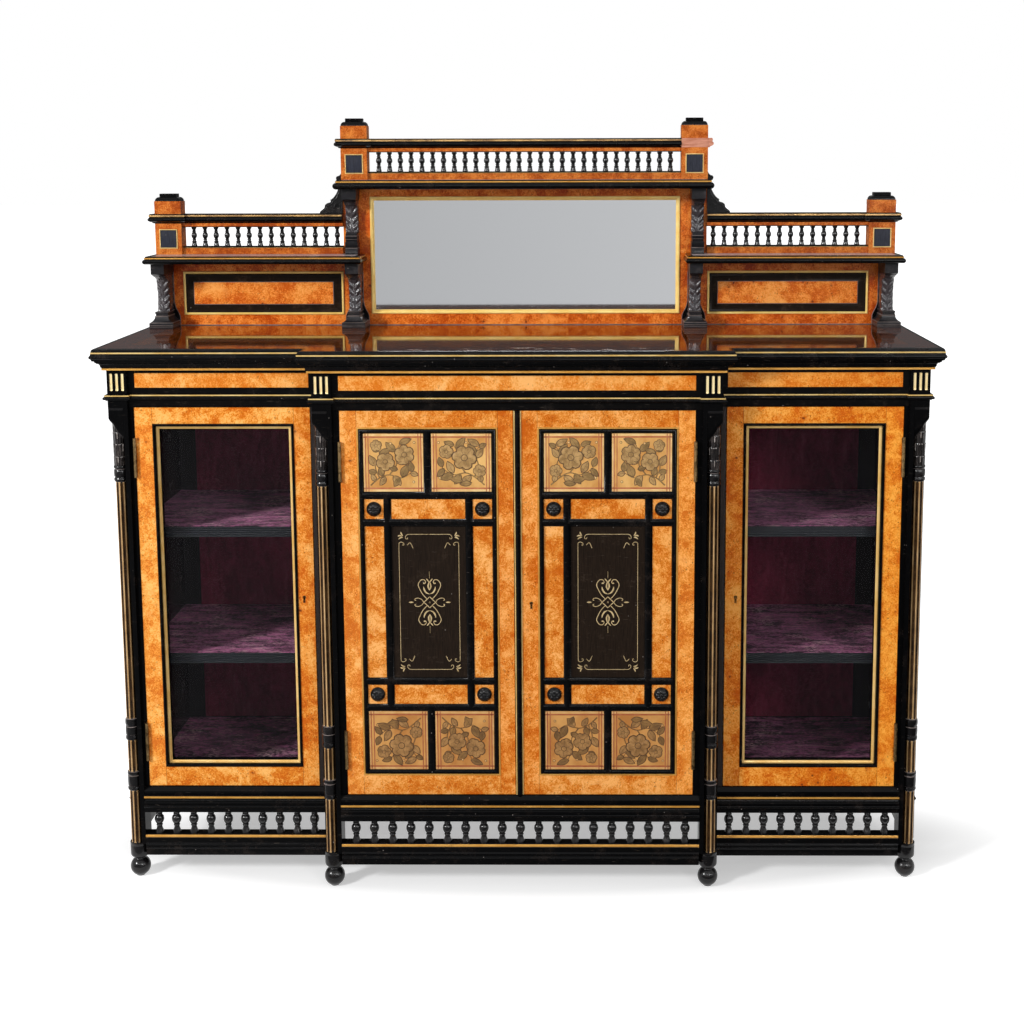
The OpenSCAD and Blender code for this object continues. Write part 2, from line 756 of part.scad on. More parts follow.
// Lines of the moulding grid
grid_x_mid = (panel_x0 + panel_x1) / 2;
tile_h = 118.5;
row_h = 39.5;
grid_z1 = panel_z1 - edge_bar_w + 4 - tile_h;
grid_z0 = panel_z0 + edge_bar_w + 2 + tile_h;
square_w = 38.5;
bar_in = panel_x0 + edge_bar_w - 1 + square_w;

module mid_frame(in_x) {
    difference() {
        door_frame(in_x, mid_door_out_x, panel_x0 - in_x, stile_w - 2, centre_y);
        hinge_mortises(mid_door_out_x, centre_y, -1);
    }
}

module mid_panel() {
    block(panel_x0, panel_x1, panel_y, panel_y + panel_t, panel_z0, panel_z1);
}

// A flat-backed bar with a rounded front, lying along X or along Z
bar_profile = concat([[0, 0], [0, 2.5]], [[1.5, 3], [3, 5.2]],
    [[bar_w / 2 - 1, 6]], [[bar_w / 2 + 1, 6], [bar_w - 3, 5.2]],
    [[bar_w - 1.5, 3], [bar_w, 2.5], [bar_w, 0]]);

module bar_x(x0, x1, z) {
    translate([x0, panel_y, z]) rotate([90, 0, 90]) linear_extrude(x1 - x0)
        polygon([for (p = bar_profile) [-p[1], p[0]]]);
}

module bar_z(x, z0, z1) {
    translate([x, panel_y, z0]) linear_extrude(z1 - z0)
        polygon([for (p = bar_profile) [p[0], -p[1]]]);
}

module mid_mouldings() {
    e = edge_bar_w;
    lap = 1;
    strip_frame(panel_x0, panel_x1, panel_z0, panel_z1, e, panel_y - 6, panel_y);
    inner0 = panel_x0 + e;
    inner1 = panel_x1 - e;
    for (z = [grid_z1 - bar_w, grid_z1 - 2 * bar_w - row_h, grid_z0 + bar_w + row_h, grid_z0])
        bar_x(inner0 - lap, inner1 + lap, z);
    bar_z(grid_x_mid - bar_w / 2, grid_z1 - lap, panel_z1 - e + lap);
    bar_z(grid_x_mid - bar_w / 2, panel_z0 + e - lap, grid_z0 + lap);
    for (x = [bar_in, panel_x0 + panel_x1 - bar_in - bar_w]) {
        bar_z(x, grid_z1 - bar_w - row_h - lap, grid_z1 - bar_w + lap);
        bar_z(x, grid_z0 + bar_w - lap, grid_z0 + bar_w + row_h + lap);
        bar_z(x, grid_z0 + 2 * bar_w + row_h - lap, grid_z1 - 2 * bar_w - row_h + lap);
    }
}

module mid_tiles() {
    e = edge_bar_w;
    for (x = [[panel_x0 + e, grid_x_mid - bar_w / 2], [grid_x_mid + bar_w / 2, panel_x1 - e]])
        for (z = [[panel_z0 + e, grid_z0], [grid_z1, panel_z1 - e]])
            block(x[0] + seat, x[1] - seat, panel_y - tile_t, panel_y, z[0] + seat, z[1] - seat);
}

module boss() {
    rotate([90, 0, 0]) rotate_extrude()
        polygon([[0, 0], [13, 0], [14.5, 1.5], [14.5, 3.5], [12.5, 5], [12, 6.5], [8, 9.5],
            [4, 10.8], [0, 11]]);
}

module mid_bosses() {
    e = edge_bar_w;
    inner = (panel_x0 + e + bar_in) / 2;
    for (x = [inner, panel_x0 + panel_x1 - inner])
        for (z = [grid_z0 + bar_w + row_h / 2, grid_z1 - bar_w - row_h / 2])
            translate([x, panel_y, z]) boss();
}

// A flush bolt slides in the meeting stile of the left centre door. It is drawn for
// the top of the door; the lower one is its mirror image.
flush_x = mid_free_x + 15;
flush_len = 80;
door_mid_z = (door_z + door_top_z) / 2;

module flush_cut() {
    translate([flush_x, flush_y, door_top_z - flush_len - 6])
        cylinder(r = flush_r + pin_fit, h = flush_len + 8);
    block(flush_x - 2.6, flush_x + 2.6, flush_y, mid_face_y + door_t + 1,
        door_top_z - flush_len + 6, door_top_z - flush_len + 24 + flush_throw);
}

module flush_bolt() {
    translate([flush_x, flush_y, door_top_z - flush_len - 1]) cylinder(r = flush_r, h = flush_len);
    translate([flush_x, flush_y, door_top_z - flush_len + 15]) rotate([-90, 0, 0])
        cylinder(r = 2.2, h = door_t / 2 + 3);
}

module other_end() {
    translate([0, 0, 2 * door_mid_z]) mirror([0, 0, 1]) children();
}

module mid_left_door_frame() {
    color(burl) mirror([1, 0, 0]) difference() {
        mid_frame(mid_free_x);
        flush_cut();
        other_end() flush_cut();
        block(mid_free_x - 1, mid_free_x + bolt_throw + 1, mid_face_y + 6, mid_face_y + 16,
            lock_z - 9, lock_z + 9);
    }
}
module mid_left_door_panel() { color(ebony) mirror([1, 0, 0]) mid_panel(); }
module mid_left_door_mouldings() { color(ebony) mirror([1, 0, 0]) mid_mouldings(); }
module mid_left_door_tiles() { color(gilt) mirror([1, 0, 0]) mid_tiles(); }
module mid_left_door_bosses() { color(ebony) mirror([1, 0, 0]) mid_bosses(); }
module mid_left_door_hinges() {
    color(brass) mirror([1, 0, 0]) hinge_pair(mid_jamb_x, centre_y, false);
}
module mid_left_door_top_bolt() { color(brass) mirror([1, 0, 0]) flush_bolt(); }
module mid_left_door_bottom_bolt() {
    color(brass) mirror([1, 0, 0]) other_end() flush_bolt();
}

module mid_right_door_frame() {
    color(burl) difference() {
        mid_frame(-meeting_x);
        lock_cut(-meeting_x, -1, centre_y, mid_key_d);
    }
}
module mid_right_door_panel() { color(ebony) mid_panel(); }
module mid_right_door_mouldings() { color(ebony) mid_mouldings(); }
module mid_right_door_tiles() { color(gilt) mid_tiles(); }
module mid_right_door_bosses() { color(ebony) mid_bosses(); }
module mid_right_door_hinges() { color(brass) hinge_pair(mid_jamb_x, centre_y, false); }
module mid_right_door_lock() { color(brass) lock_case(-meeting_x, -1, centre_y, mid_key_d); }
module mid_right_door_bolt() { color(brass) lock_bolt(-meeting_x, -1, centre_y, mid_key_d); }

module mid_right_door_meeting_bead() {
    w = meeting_w / 2;
    color(ebony) translate([0, mid_face_y, door_z]) linear_extrude(door_h)
        polygon(concat([[-w, 0], [-w, -2], [-w + 2, -2]],
            arc([0, -1.5], w - 2.5, 180, 360, 8), [[w - 2, -2], [w, -2], [w, 0]]));
}

// Superstructure

mirror_x = centre_board_x - 58;
mirror_z0 = top_z + 25;
mirror_z1 = shelf2_z - 17;
mirror_slip_w = 8.5;
niche_x0 = centre_board_x + 2;
niche_x1 = wing_x - 53;
niche_z0 = top_z + 23.5;
niche_z1 = shelf1_z - 22;
niche_gilt_w = 5;

module backboard() {
    color(burl) {
        both() block(centre_board_x, wing_x, board_y, back_y, top_z, shelf1_z);
        difference() {
            block(-centre_board_x, centre_board_x, board_y, back_y, top_z, shelf2_z);
            block(-mirror_x, mirror_x, board_y - 1, board_y + 7, mirror_z0, mirror_z1);
        }
    }
}

module mirror_glass() {
    color("#aeb4b6") block(-mirror_x + seat, mirror_x - seat, board_y + 3, board_y + 7,
        mirror_z0 + seat, mirror_z1 - seat);
}

module gilt_frames() {
    color(gilt) {
        strip_frame(-mirror_x, mirror_x, mirror_z0, mirror_z1, mirror_slip_w,
            board_y - 3, board_y + 3);
        both() strip_frame(niche_x0, niche_x1, niche_z0, niche_z1, niche_gilt_w,
            board_y - 3, board_y);
    }
}

module niche_panels() {
    w = niche_gilt_w;
    border = 18;
    rise = 3;
    color(ebony) both() {
        strip_frame(niche_x0 + w, niche_x1 - w, niche_z0 + w, niche_z1 - w, border,
            board_y - 2, board_y);
        block(niche_x0 + w + border, niche_x1 - w - border, board_y - rise, board_y,
            niche_z0 + w + border, niche_z1 - w - border);
    }
}

// A console seen from the side: d is the distance in front of the backboard
module console(x, z0, z1, foot_w, foot_d, foot_h, head_w, head_d) {
    h = z1 - z0;
    neck_d = foot_d * 0.68;
    shaft_w = head_w - 3;
    block(x - foot_w / 2, x + foot_w / 2, board_y - foot_d, board_y, z0, z0 + foot_h);
    translate([x + head_w / 2, board_y, z1 - 26]) rotate([90, 0, -90]) linear_extrude(head_w)
        polygon([[0, 0], [head_d - 6, 0], [head_d, 4], [head_d, 26], [0, 26]]);
    translate([x + shaft_w / 2, board_y, z0 + foot_h]) rotate([90, 0, -90])
        linear_extrude(shaft_w) polygon(concat([[0, 0], [foot_d - 6, 0], [foot_d - 6, 4]],
            [[foot_d - 14, 10], [neck_d, 22], [neck_d - 3, (h - foot_h) * 0.45]],
            [[neck_d + 4, h - foot_h - 36], [head_d - 8, h - foot_h - 26]],
            [[0, h - foot_h - 26]]));
}

module consoles() {
    outer_x = wing_x - 18;
    inner_x = centre_board_x - 27;
    foot_d = shelf_reach - 30;
    head_d = shelf_reach - 17;
    foot_t = 12.5;
    head_w = 28;
    color(ebony) both() {
        console(outer_x, top_z, shelf1_z, 51, foot_d, foot_t, head_w, head_d);
        console(inner_x, top_z, shelf1_z, 50, foot_d, foot_t, head_w, head_d);
        console(inner_x + 6, shelf1_top_z, shelf2_z, 27, foot_d - 32, 26, 30, head_d - 25);
    }
}

function shelf_edge(z, t) = concat([[-14, z], [-3, z], [-2, z + 2], [0, z + 4], [0, z + 6]],
    arc([-2, z + t - 5.5], 3, -50, 60, 5), [[-3, z + t - 1.5], [-4, z + t], [-14, z + t]]);

module gallery_shelves() {
    t2 = shelf2_top_z - shelf2_z;
    x1 = wing_x + shelf_over;
    x2 = centre_board_x + shelf_over;
    inset = 12;
    color(ebony) {
        both() {
            block(centre_board_x, x1 - inset, shelf1_y + inset, back_y, shelf1_z, shelf1_top_z);
            block(shelf1_in_x + inset, centre_board_x, shelf1_y + inset, board_y,
                shelf1_z, shelf1_top_z);
            run(shelf1_in_x, x1, shelf1_y, 1, 1, shelf_edge(shelf1_z, gallery_shelf_t));
            run_side(shelf1_y, back_y, x1, 1, 0, shelf_edge(shelf1_z, gallery_shelf_t));
            mirror([1, 0, 0]) run_side(shelf1_y, board_y, -shelf1_in_x, 1, 0,
                shelf_edge(shelf1_z, gallery_shelf_t));
        }
        block(-x2 + inset, x2 - inset, shelf2_y + inset, back_y, shelf2_z, shelf2_top_z);
        run(-x2, x2, shelf2_y, 1, 1, shelf_edge(shelf2_z, t2));
        both() run_side(shelf2_y, back_y, x2, 1, 0, shelf_edge(shelf2_z, t2));
    }
}

// The gallery rail's section, also used for the collars round the posts
function collar_profile(z, back) = let (h = collar_h) concat(
    [[back, z], [3, z], [4, z + 2], [8, z + 3.5]], arc([8, z + 8], 4, -80, 60, 6),
    [[8.5, z + h - 6.5], [10, z + h - 6], [10, z + h - 2.5], [8, z + h]], [[back, z + h]]);

module gallery_bay(x0, x1, z) {
    ry = rail_y;
    zc = z + gallery_block_h;
    block(x0, x1, ry, ry + rail_d, z, z + foot_rail_h - 1);
    block(x0, x1, ry - 1, ry + rail_d + 1, z + foot_rail_h - 1, z + foot_rail_h);
    block(x0, x1, ry, ry + rail_d, zc - 9, zc);
    extrude_x(x0, x1, ry + 2, collar_profile(zc, 2 - rail_d));
}

module gallery_rails() {
    z1 = shelf1_top_z;
    z2 = shelf2_top_z;
    color(burl) {
        both() gallery_bay(centre_board_x, wing_x - gallery_post_w, z1);
        gallery_bay(-upper_post_in_x, upper_post_in_x, z2);
    }
}

gallery_spindle_h = gallery_block_h - 9 - foot_rail_h;

module gallery_spindle() {
    h = gallery_spindle_h;
    rotate_extrude() polygon(concat([[0, 0], [5.8, 0], [5.8, 2], [4.8, 5], [3.6, 14]],
        [[3.4, 18], [4.2, 20], [3.8, 21.5]], arc([0, 27], 5.5, -50, 50, 6),
        [[3.4, 33], [3.4, h - 6], [4.8, h - 4], [4.8, h], [0, h]]));
}

module gallery_spindles() {
    first = 22.5;
    wing_bay = wing_x - gallery_post_w - centre_board_x - first - 14;
    wing_pitch = wing_bay / (wing_spindles - 1);
    top_pitch = 2 * (upper_post_in_x - first) / (top_spindles - 1);
    y = rail_y + rail_d / 2;
    color(ebony) {
        both() for (i = [0:wing_spindles - 1])
            translate([wing_x - gallery_post_w - first - i * wing_pitch, y,
                shelf1_top_z + foot_rail_h]) gallery_spindle();
        for (i = [0:top_spindles - 1])
            translate([upper_post_in_x - first - i * top_pitch, y,
                shelf2_top_z + foot_rail_h]) gallery_spindle();
    }
}

neck_h = 27;
post_core_h = gallery_block_h + collar_h + neck_h;

module gallery_posts() {
    color(burl) both() {
        block(wing_x - gallery_post_w, wing_x, gallery_y, back_y,
            shelf1_top_z, shelf1_top_z + post_core_h);
        block(centre_board_x - gallery_post_w, centre_board_x, gallery_y, back_y,
            shelf2_top_z, shelf2_top_z + post_core_h);
    }
}

// Collar on the front and outer side of a post whose outer face is at x
module post_collar(x, z, front) {
    p = collar_profile(z + gallery_block_h, 0);
    if (front) run(x - gallery_post_w, x, gallery_y, 0, 1, p);
    run_side(gallery_y, back_y, x, 1, 0, p);
}

module post_cap(x, z) {
    c = x - gallery_post_w / 2;
    cy = (gallery_y + back_y) / 2;
    w = gallery_post_w - 2;
    d = gallery_post_d - 2;
    zt = z + post_core_h;
    translate([c + w / 2, cy, zt]) rotate([90, 0, -90]) linear_extrude(w)
        polygon(concat([[-d / 2, 0]], arc([-d / 2 + 7, 2], 7, 180, 90, 5),
            arc([d / 2 - 7, 2], 7, 90, 0, 5), [[d / 2, 0]]));
    block(c - w / 2 + 9, c + w / 2 - 9, cy - d / 2 + 6, cy + d / 2 - 6, zt + 9, zt + 16);
}

module post_tile(x, z) {
    c = x - gallery_post_w / 2;
    block(c - 19.5, c + 19.5, gallery_y - 1.5, gallery_y, z + 12, z + gallery_block_h - 12);
}

module post_mouldings() {
    color(ebony) {
        both() {
            post_collar(wing_x, shelf1_top_z, true);
            post_cap(wing_x, shelf1_top_z);
            post_tile(wing_x, shelf1_top_z);
            post_cap(centre_board_x, shelf2_top_z);
            post_tile(centre_board_x, shelf2_top_z);
        }
        // The right upper post has lost the front of its collar
        post_collar(centre_board_x, shelf2_top_z, false);
        mirror([1, 0, 0]) post_collar(centre_board_x, shelf2_top_z, true);
    }
}

// Pierced scroll beside the centre part, standing on the wing gallery's rail
module scroll_brackets() {
    z = shelf1_top_z + gallery_block_h + collar_h;
    x = centre_board_x;
    k = upper_h / 139.5;
    inner = [[0, 0], [50, 0], [52, 4], [47, 8], [40, 12], [44, 18], [38, 22], [30, 26]];
    outer = [[24, 32], [17, 38], [13, 46], [13, 52], [17, 58], [16, 66], [12, 70]];
    tip = [[14, 74], [12, 78], [7, 80], [4, 88], [0, 90]];
    color(ebony) both() difference() {
        translate([x, back_y - 8, z]) rotate([90, 0, 0]) linear_extrude(16)
            polygon(k * concat(inner, outer, tip));
        block(x - 1, x + shelf_over + 1 + seat, shelf2_y, back_y, shelf2_z - seat,
            shelf2_top_z + seat);
        translate([x + 12 * k, back_y, z + 14 * k]) rotate([90, 0, 0]) cylinder(r = 4, h = 40);
    }
}

side_panels();
partitions();
floor_and_top_boards();
back_boards();
corner_posts();
columns();
turned_feet();
worktop();
cornice();
frieze_rails();
frieze_blocks();
frieze_moulding();
sill_rails();
base_rails();
base_spindles();
shelves_and_bearers();
velvet_linings();
frame_hinges();
backboard();
mirror_glass();
gilt_frames();
niche_panels();
consoles();
gallery_shelves();
gallery_rails();
gallery_spindles();
gallery_posts();
post_mouldings();
scroll_brackets();
left_door_frame();
left_door_bead();
left_door_slip();
left_door_glass();
left_door_hinges();
left_door_lock();
left_door_bolt();
right_door_frame();
right_door_bead();
right_door_slip();
right_door_glass();
right_door_hinges();
right_door_lock();
right_door_bolt();
mid_left_door_frame();
mid_left_door_panel();
mid_left_door_mouldings();
mid_left_door_tiles();
mid_left_door_bosses();
mid_left_door_hinges();
mid_left_door_top_bolt();
mid_left_door_bottom_bolt();
mid_right_door_frame();
mid_right_door_panel();
mid_right_door_mouldings();
mid_right_door_tiles();
mid_right_door_bosses();
mid_right_door_hinges();
mid_right_door_lock();
mid_right_door_bolt();
mid_right_door_meeting_bead();
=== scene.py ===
"""Looks of the breakfront side cabinet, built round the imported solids.

Lengths are in millimetres in the solids' own frame (front towards -Y, floor at z = 0) and are turned into metres
when a mesh is made.
"""
import json
import math
from functools import partialmethod

import bpy
import numpy as np
from mathutils import Matrix
from mathutils.geometry import tessellate_polygon

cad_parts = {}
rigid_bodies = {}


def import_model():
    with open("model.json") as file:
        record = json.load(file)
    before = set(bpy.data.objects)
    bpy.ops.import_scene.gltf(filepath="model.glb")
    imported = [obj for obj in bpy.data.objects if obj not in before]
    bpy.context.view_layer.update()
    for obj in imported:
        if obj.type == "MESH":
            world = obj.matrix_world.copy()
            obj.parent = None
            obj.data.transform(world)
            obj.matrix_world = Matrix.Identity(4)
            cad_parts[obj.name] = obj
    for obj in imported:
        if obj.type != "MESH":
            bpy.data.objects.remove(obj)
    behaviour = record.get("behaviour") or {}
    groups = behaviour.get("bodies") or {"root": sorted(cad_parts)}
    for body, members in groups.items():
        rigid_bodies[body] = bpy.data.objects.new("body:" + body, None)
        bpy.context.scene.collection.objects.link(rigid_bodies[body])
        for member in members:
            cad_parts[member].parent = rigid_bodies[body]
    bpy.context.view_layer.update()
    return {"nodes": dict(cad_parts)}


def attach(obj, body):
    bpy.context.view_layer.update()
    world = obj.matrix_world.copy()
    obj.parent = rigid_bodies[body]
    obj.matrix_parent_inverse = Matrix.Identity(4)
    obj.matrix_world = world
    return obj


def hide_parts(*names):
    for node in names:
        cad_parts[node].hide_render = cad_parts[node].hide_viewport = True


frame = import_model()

# ---------------------------------------------------------------- places of the solids
WING_X, CENTRE_X, POST_W = 795.0, 392.5, 38.0
WING_Y, CENTRE_Y, BACK_Y, BOARD_Y = -165.0, -205.0, 230.0, 210.0
POST_IN, MID_POST_IN = WING_X - POST_W, CENTRE_X - POST_W
BASE_Z, LEDGE_Z, SILL_Z, DOOR_Z, DOOR_TOP = 50.0, 94.5, 141.5, 193.2, 964.8
FRIEZE_Z, CORNICE_Z, TOP_UNDER, TOP_Z = 992.0, 1040.0, 1062.0, 1083.5
SHELF1, SHELF1_TOP, SHELF2, SHELF2_TOP = 1222.5, 1239.0, 1378.5, 1398.0
FRIEZE_SET = 8.0
FLOOR_TOP = 190.0
BOARD_X, POST2_W, GALLERY_Y, RAIL_Y, RAIL_D = 392.0, 56.5, 194.0, 201.0, 22.0
WING_FACE, MID_FACE = WING_Y + 10, CENTRE_Y + 10
PANEL_Y = MID_FACE + 2
EBONY, BURL, GILT = "ebonised_wood", "amboyna_veneer", "gilt_wood"


# ---------------------------------------------------------------- shapes
def points(*groups):
    """One array of 2-D points from single points and arrays of points."""
    return np.concatenate([np.atleast_2d(np.asarray(g, float)) for g in groups])


def arc(cx, cz, r, a0, a1, n=7):
    """Points on a circle: centre + r (cos a, sin a), with a going from a0 to a1 degrees."""
    a = np.radians(np.linspace(a0, a1, n))
    return np.stack([cx + r * np.cos(a), cz + r * np.sin(a)], 1)


def mirrored(path):
    """A path in plan turned left for right and run the same way round."""
    return [(-x, y) for x, y in path[::-1]]


def section(*groups, z=0.0):
    """Points of a moulding's section, lifted by z, and their finish numbers: a number before a group is its finish."""
    rows, finish = [], 0
    for g in groups:
        if isinstance(g, int):
            finish = g
        else:
            rows += [(x, z + dz, finish) for x, dz in g]
            finish = 0
    rows = np.array(rows)
    return rows[:, :2], rows[:, 2].astype(int)


def smooth_path(ctrl, n=8, closed=False):
    """A Catmull-Rom curve through the control points, n steps between two of them."""
    c = np.asarray(ctrl, float)
    if closed:
        p = np.concatenate([c[-1:], c, c[:2]])
    else:
        p = np.concatenate([2 * c[:1] - c[1:2], c, 2 * c[-1:] - c[-2:-1]])
    t = np.linspace(0, 1, n, endpoint=False)[None, :, None]
    a, b, d, e = (p[i:len(p) - 3 + i][:, None, :] for i in range(4))
    q = 0.5 * (2 * b + (d - a) * t + (2 * a - 5 * b + 4 * d - e) * t ** 2 + (3 * b - a - 3 * d + e) * t ** 3)
    q = q.reshape(-1, c.shape[1])
    return q if closed else np.concatenate([q, c[-1:]])


def slab_topology():
    """Corner and face numbers of a box whose twelve edges are chamfered: three points a corner, one on each face."""
    bits = np.array([[(c >> a) & 1 for a in range(3)] for c in range(8)])
    pos = np.where(np.arange(3)[None, None, :] == np.arange(3)[None, :, None],
                   bits[:, None, :], 0.1 + 0.8 * bits[:, None, :]).reshape(-1, 3)
    quads, tris = [], [[3 * c, 3 * c + 1, 3 * c + 2] for c in range(8)]
    for a in range(3):
        b, d = (a + 1) % 3, (a + 2) % 3
        for s in range(2):
            ring = [s << a, s << a | 1 << b, s << a | 1 << b | 1 << d, s << a | 1 << d]
            quads.append([3 * c + a for c in ring])
            for s2 in range(2):
                c0 = s << a | s2 << b
                c1 = c0 | 1 << d
                quads.append([3 * c0 + a, 3 * c1 + a, 3 * c1 + b, 3 * c0 + b])
    out = []
    for group in (quads, tris):
        f = np.array(group)
        n = np.cross(pos[f[:, 1]] - pos[f[:, 0]], pos[f[:, 2]] - pos[f[:, 0]])
        inward = ((pos[f].mean(1) - 0.5) * n).sum(1) < 0
        f[inward] = f[inward][:, ::-1]
        out.append(f)
    return bits, out


SLAB_BITS, SLAB_FACES = slab_topology()


class Shape:
    """Closed bodies in millimetres, each face with the number of its finish, gathered into one mesh."""

    def __init__(self):
        self.verts, self.faces, self.count = [], [], 0

    def put(self, verts, faces):
        """Adds one closed body. faces is a list of (index array, finish array); the body's signed volume
        says whether they are turned round to point outwards."""
        v = np.asarray(verts, float).reshape(-1, 3)
        w = v - v.mean(0)
        volume = sum((w[f[:, 0]] * np.cross(w[f[:, t]], w[f[:, t + 1]])).sum()
                     for f, _ in faces for t in range(1, f.shape[1] - 1))
        for f, m in faces:
            m = np.broadcast_to(m, len(f))
            self.faces.append(((f[:, ::-1] if volume < 0 else f) + self.count, m))
        self.verts.append(v)
        self.count += len(v)
        return self

    def loft(self, rings, finish=0, loop=False, cap=None):
        """Joins rings[a, b, 3] into a skin that is closed round b, and round a too (loop) or capped at its ends.
        finish is one number, one per point of a ring, or one per face."""
        a, b = rings.shape[:2]
        i = np.arange(a if loop else a - 1)[:, None]
        j = np.arange(b)[None, :]
        n = (i + 1) % a
        quads = np.stack([i * b + j, i * b + (j + 1) % b, n * b + (j + 1) % b, n * b + j + 0 * i], -1).reshape(-1, 4)
        fin = np.broadcast_to(finish, (len(i), b)).reshape(-1)
        faces = [(quads, fin)]
        if not loop:
            end = fin[0] if cap is None else cap
            faces += [(np.arange(b)[None, ::-1], end), ((a - 1) * b + np.arange(b)[None, :], end)]
        return self.put(rings, faces)

    def slab(self, x0, x1, y0, y1, z0, z1, finish=0, chamfer=0.5):
        """A board with chamfered edges."""
        lo, hi = np.array([x0, y0, z0], float), np.array([x1, y1, z1], float)
        corner = lo + SLAB_BITS * (hi - lo)
        inset = (1 - 2 * SLAB_BITS) * min(chamfer, 0.45 * (hi - lo).min())
        keep = np.eye(3)[None]
        v = corner[:, None, :] + (1 - keep) * inset[:, None, :]
        return self.put(v, [(f, finish) for f in SLAB_FACES])

    def sweep(self, path, profile, finish=0, cap=None):
        """Carries profile points (out, z) along a path in plan. At a corner the point stands off along the mitre
        (n0 + n1) / (1 + n0.n1), with n0 and n1 the outward normals of the two sides."""
        p = np.asarray(path, float)
        d = np.diff(p, axis=0)
        d /= np.linalg.norm(d, axis=1)[:, None]
        n = np.stack([d[:, 1], -d[:, 0]], 1)
        n0, n1 = np.concatenate([n[:1], n]), np.concatenate([n, n[-1:]])
        m = (n0 + n1) / (1 + (n0 * n1).sum(1))[:, None]
        prof = np.asarray(profile, float)
        xy = p[:, None, :] + prof[None, :, :1] * m[:, None, :]
        z = np.broadcast_to(prof[None, :, 1:], (len(p), len(prof), 1))
        return self.loft(np.concatenate([xy, z], 2), finish, cap=cap)

    def prism(self, outline, z0, z1, finish=0, cap=None):
        """An outline in plan, carried up from z0 to z1."""
        rings = np.stack([np.column_stack([outline, np.full(len(outline), z)]) for z in (z0, z1)])
        return self.loft(rings, finish, cap=cap)

    def frame_loop(self, x0, x1, z0, z1, y, profile, finish=0, outer=None):
        """A mitred frame in the XZ plane. Profile points are (inset from the rectangle, rise in front of y). With
        outer = (left, right, bottom, top), the inset is a share from 0 at the rectangle to 1 at those distances
        outside it."""
        prof = np.asarray(profile, float)
        cx, cz = np.array([x0, x1, x1, x0], float), np.array([z0, z0, z1, z1], float)
        sx, sz = np.array([1, -1, -1, 1.0]), np.array([1, 1, -1, -1.0])
        if outer is not None:
            left, right, low, high = outer
            sx = -np.array([left, -right, -right, left], float)
            sz = -np.array([low, low, -high, -high], float)
        rings = np.stack([cx[:, None] + sx[:, None] * prof[None, :, 0],
                          np.broadcast_to(y - prof[None, :, 1], (4, len(prof))),
                          cz[:, None] + sz[:, None] * prof[None, :, 0]], -1)
        return self.loft(rings, finish, loop=True)

    def turned(self, profile, centres, seg=24, finish=0):
        """Profile points (r, z) turned about upright axes at each centre (x, y, z)."""
        prof = np.asarray(profile, float)
        a = np.linspace(0, 2 * np.pi, seg, endpoint=False)
        ring = np.stack([prof[:, None, 0] * np.cos(a), prof[:, None, 0] * np.sin(a),
                         np.broadcast_to(prof[:, None, 1], (len(prof), seg))], -1)
        fin = finish if np.ndim(finish) == 0 else np.asarray(finish)[:, None]
        for c in np.atleast_2d(centres):
            self.loft(ring + np.asarray(c, float), fin)
        return self

    def ribbon(self, path, width, y, rise, finish=0, crown=0.0, back=0.3):
        """A strip along a path of (x, z) points, width[t] wide, rise in front of y and let in by back."""
        p = np.asarray(path, float)
        d = np.gradient(p, axis=0)
        d /= np.maximum(np.linalg.norm(d, axis=1), 1e-9)[:, None]
        n = np.stack([-d[:, 1], d[:, 0]], 1)
        half = np.broadcast_to(np.asarray(width, float) / 2, (len(p),))[:, None]
        share = np.array([1, 1, 0.5, 0, -0.5, -1, -1.0])
        out = np.array([-back, rise, rise + 0.8 * crown, rise + crown, rise + 0.8 * crown, rise, -back])
        xz = p[:, None, :] + (n * half)[:, None, :] * share[None, :, None]
        rings = np.stack([xz[..., 0], np.broadcast_to(y - out, xz.shape[:2]), xz[..., 1]], -1)
        return self.loft(rings, finish)

    def plate(self, outline, y_front, y_back, finish=0, cap=None):
        """A flat piece cut to an outline of (x, z) points."""
        o = np.asarray(outline, float)
        rings = np.stack([np.stack([o[:, 0], np.full(len(o), y), o[:, 1]], -1) for y in (y_back, y_front)])
        return self.loft(rings, finish, cap=cap)

    def dome(self, outline, centre, y, heights, shares, finish=0):
        """An outline shrunk towards its centre by each share while it rises to each height in front of y."""
        o, c = np.asarray(outline, float), np.asarray(centre, float)
        rings = [np.stack([c[0] + s * (o[:, 0] - c[0]), np.full(len(o), y - h), c[1] + s * (o[:, 1] - c[1])], -1)
                 for s, h in zip(shares, heights)]
        return self.loft(np.stack(rings), finish)

    def add(self, other, offset=(0, 0, 0), mirror=False):
        """Another shape's bodies, moved by an offset or mirrored left to right."""
        v = np.concatenate(other.verts) + np.asarray(offset, float)
        if mirror:
            v = v * [-1, 1, 1]
        for f, m in other.faces:
            self.faces.append(((f[:, ::-1] if mirror else f) + self.count, m))
        self.verts.append(v)
        self.count += len(v)
        return self

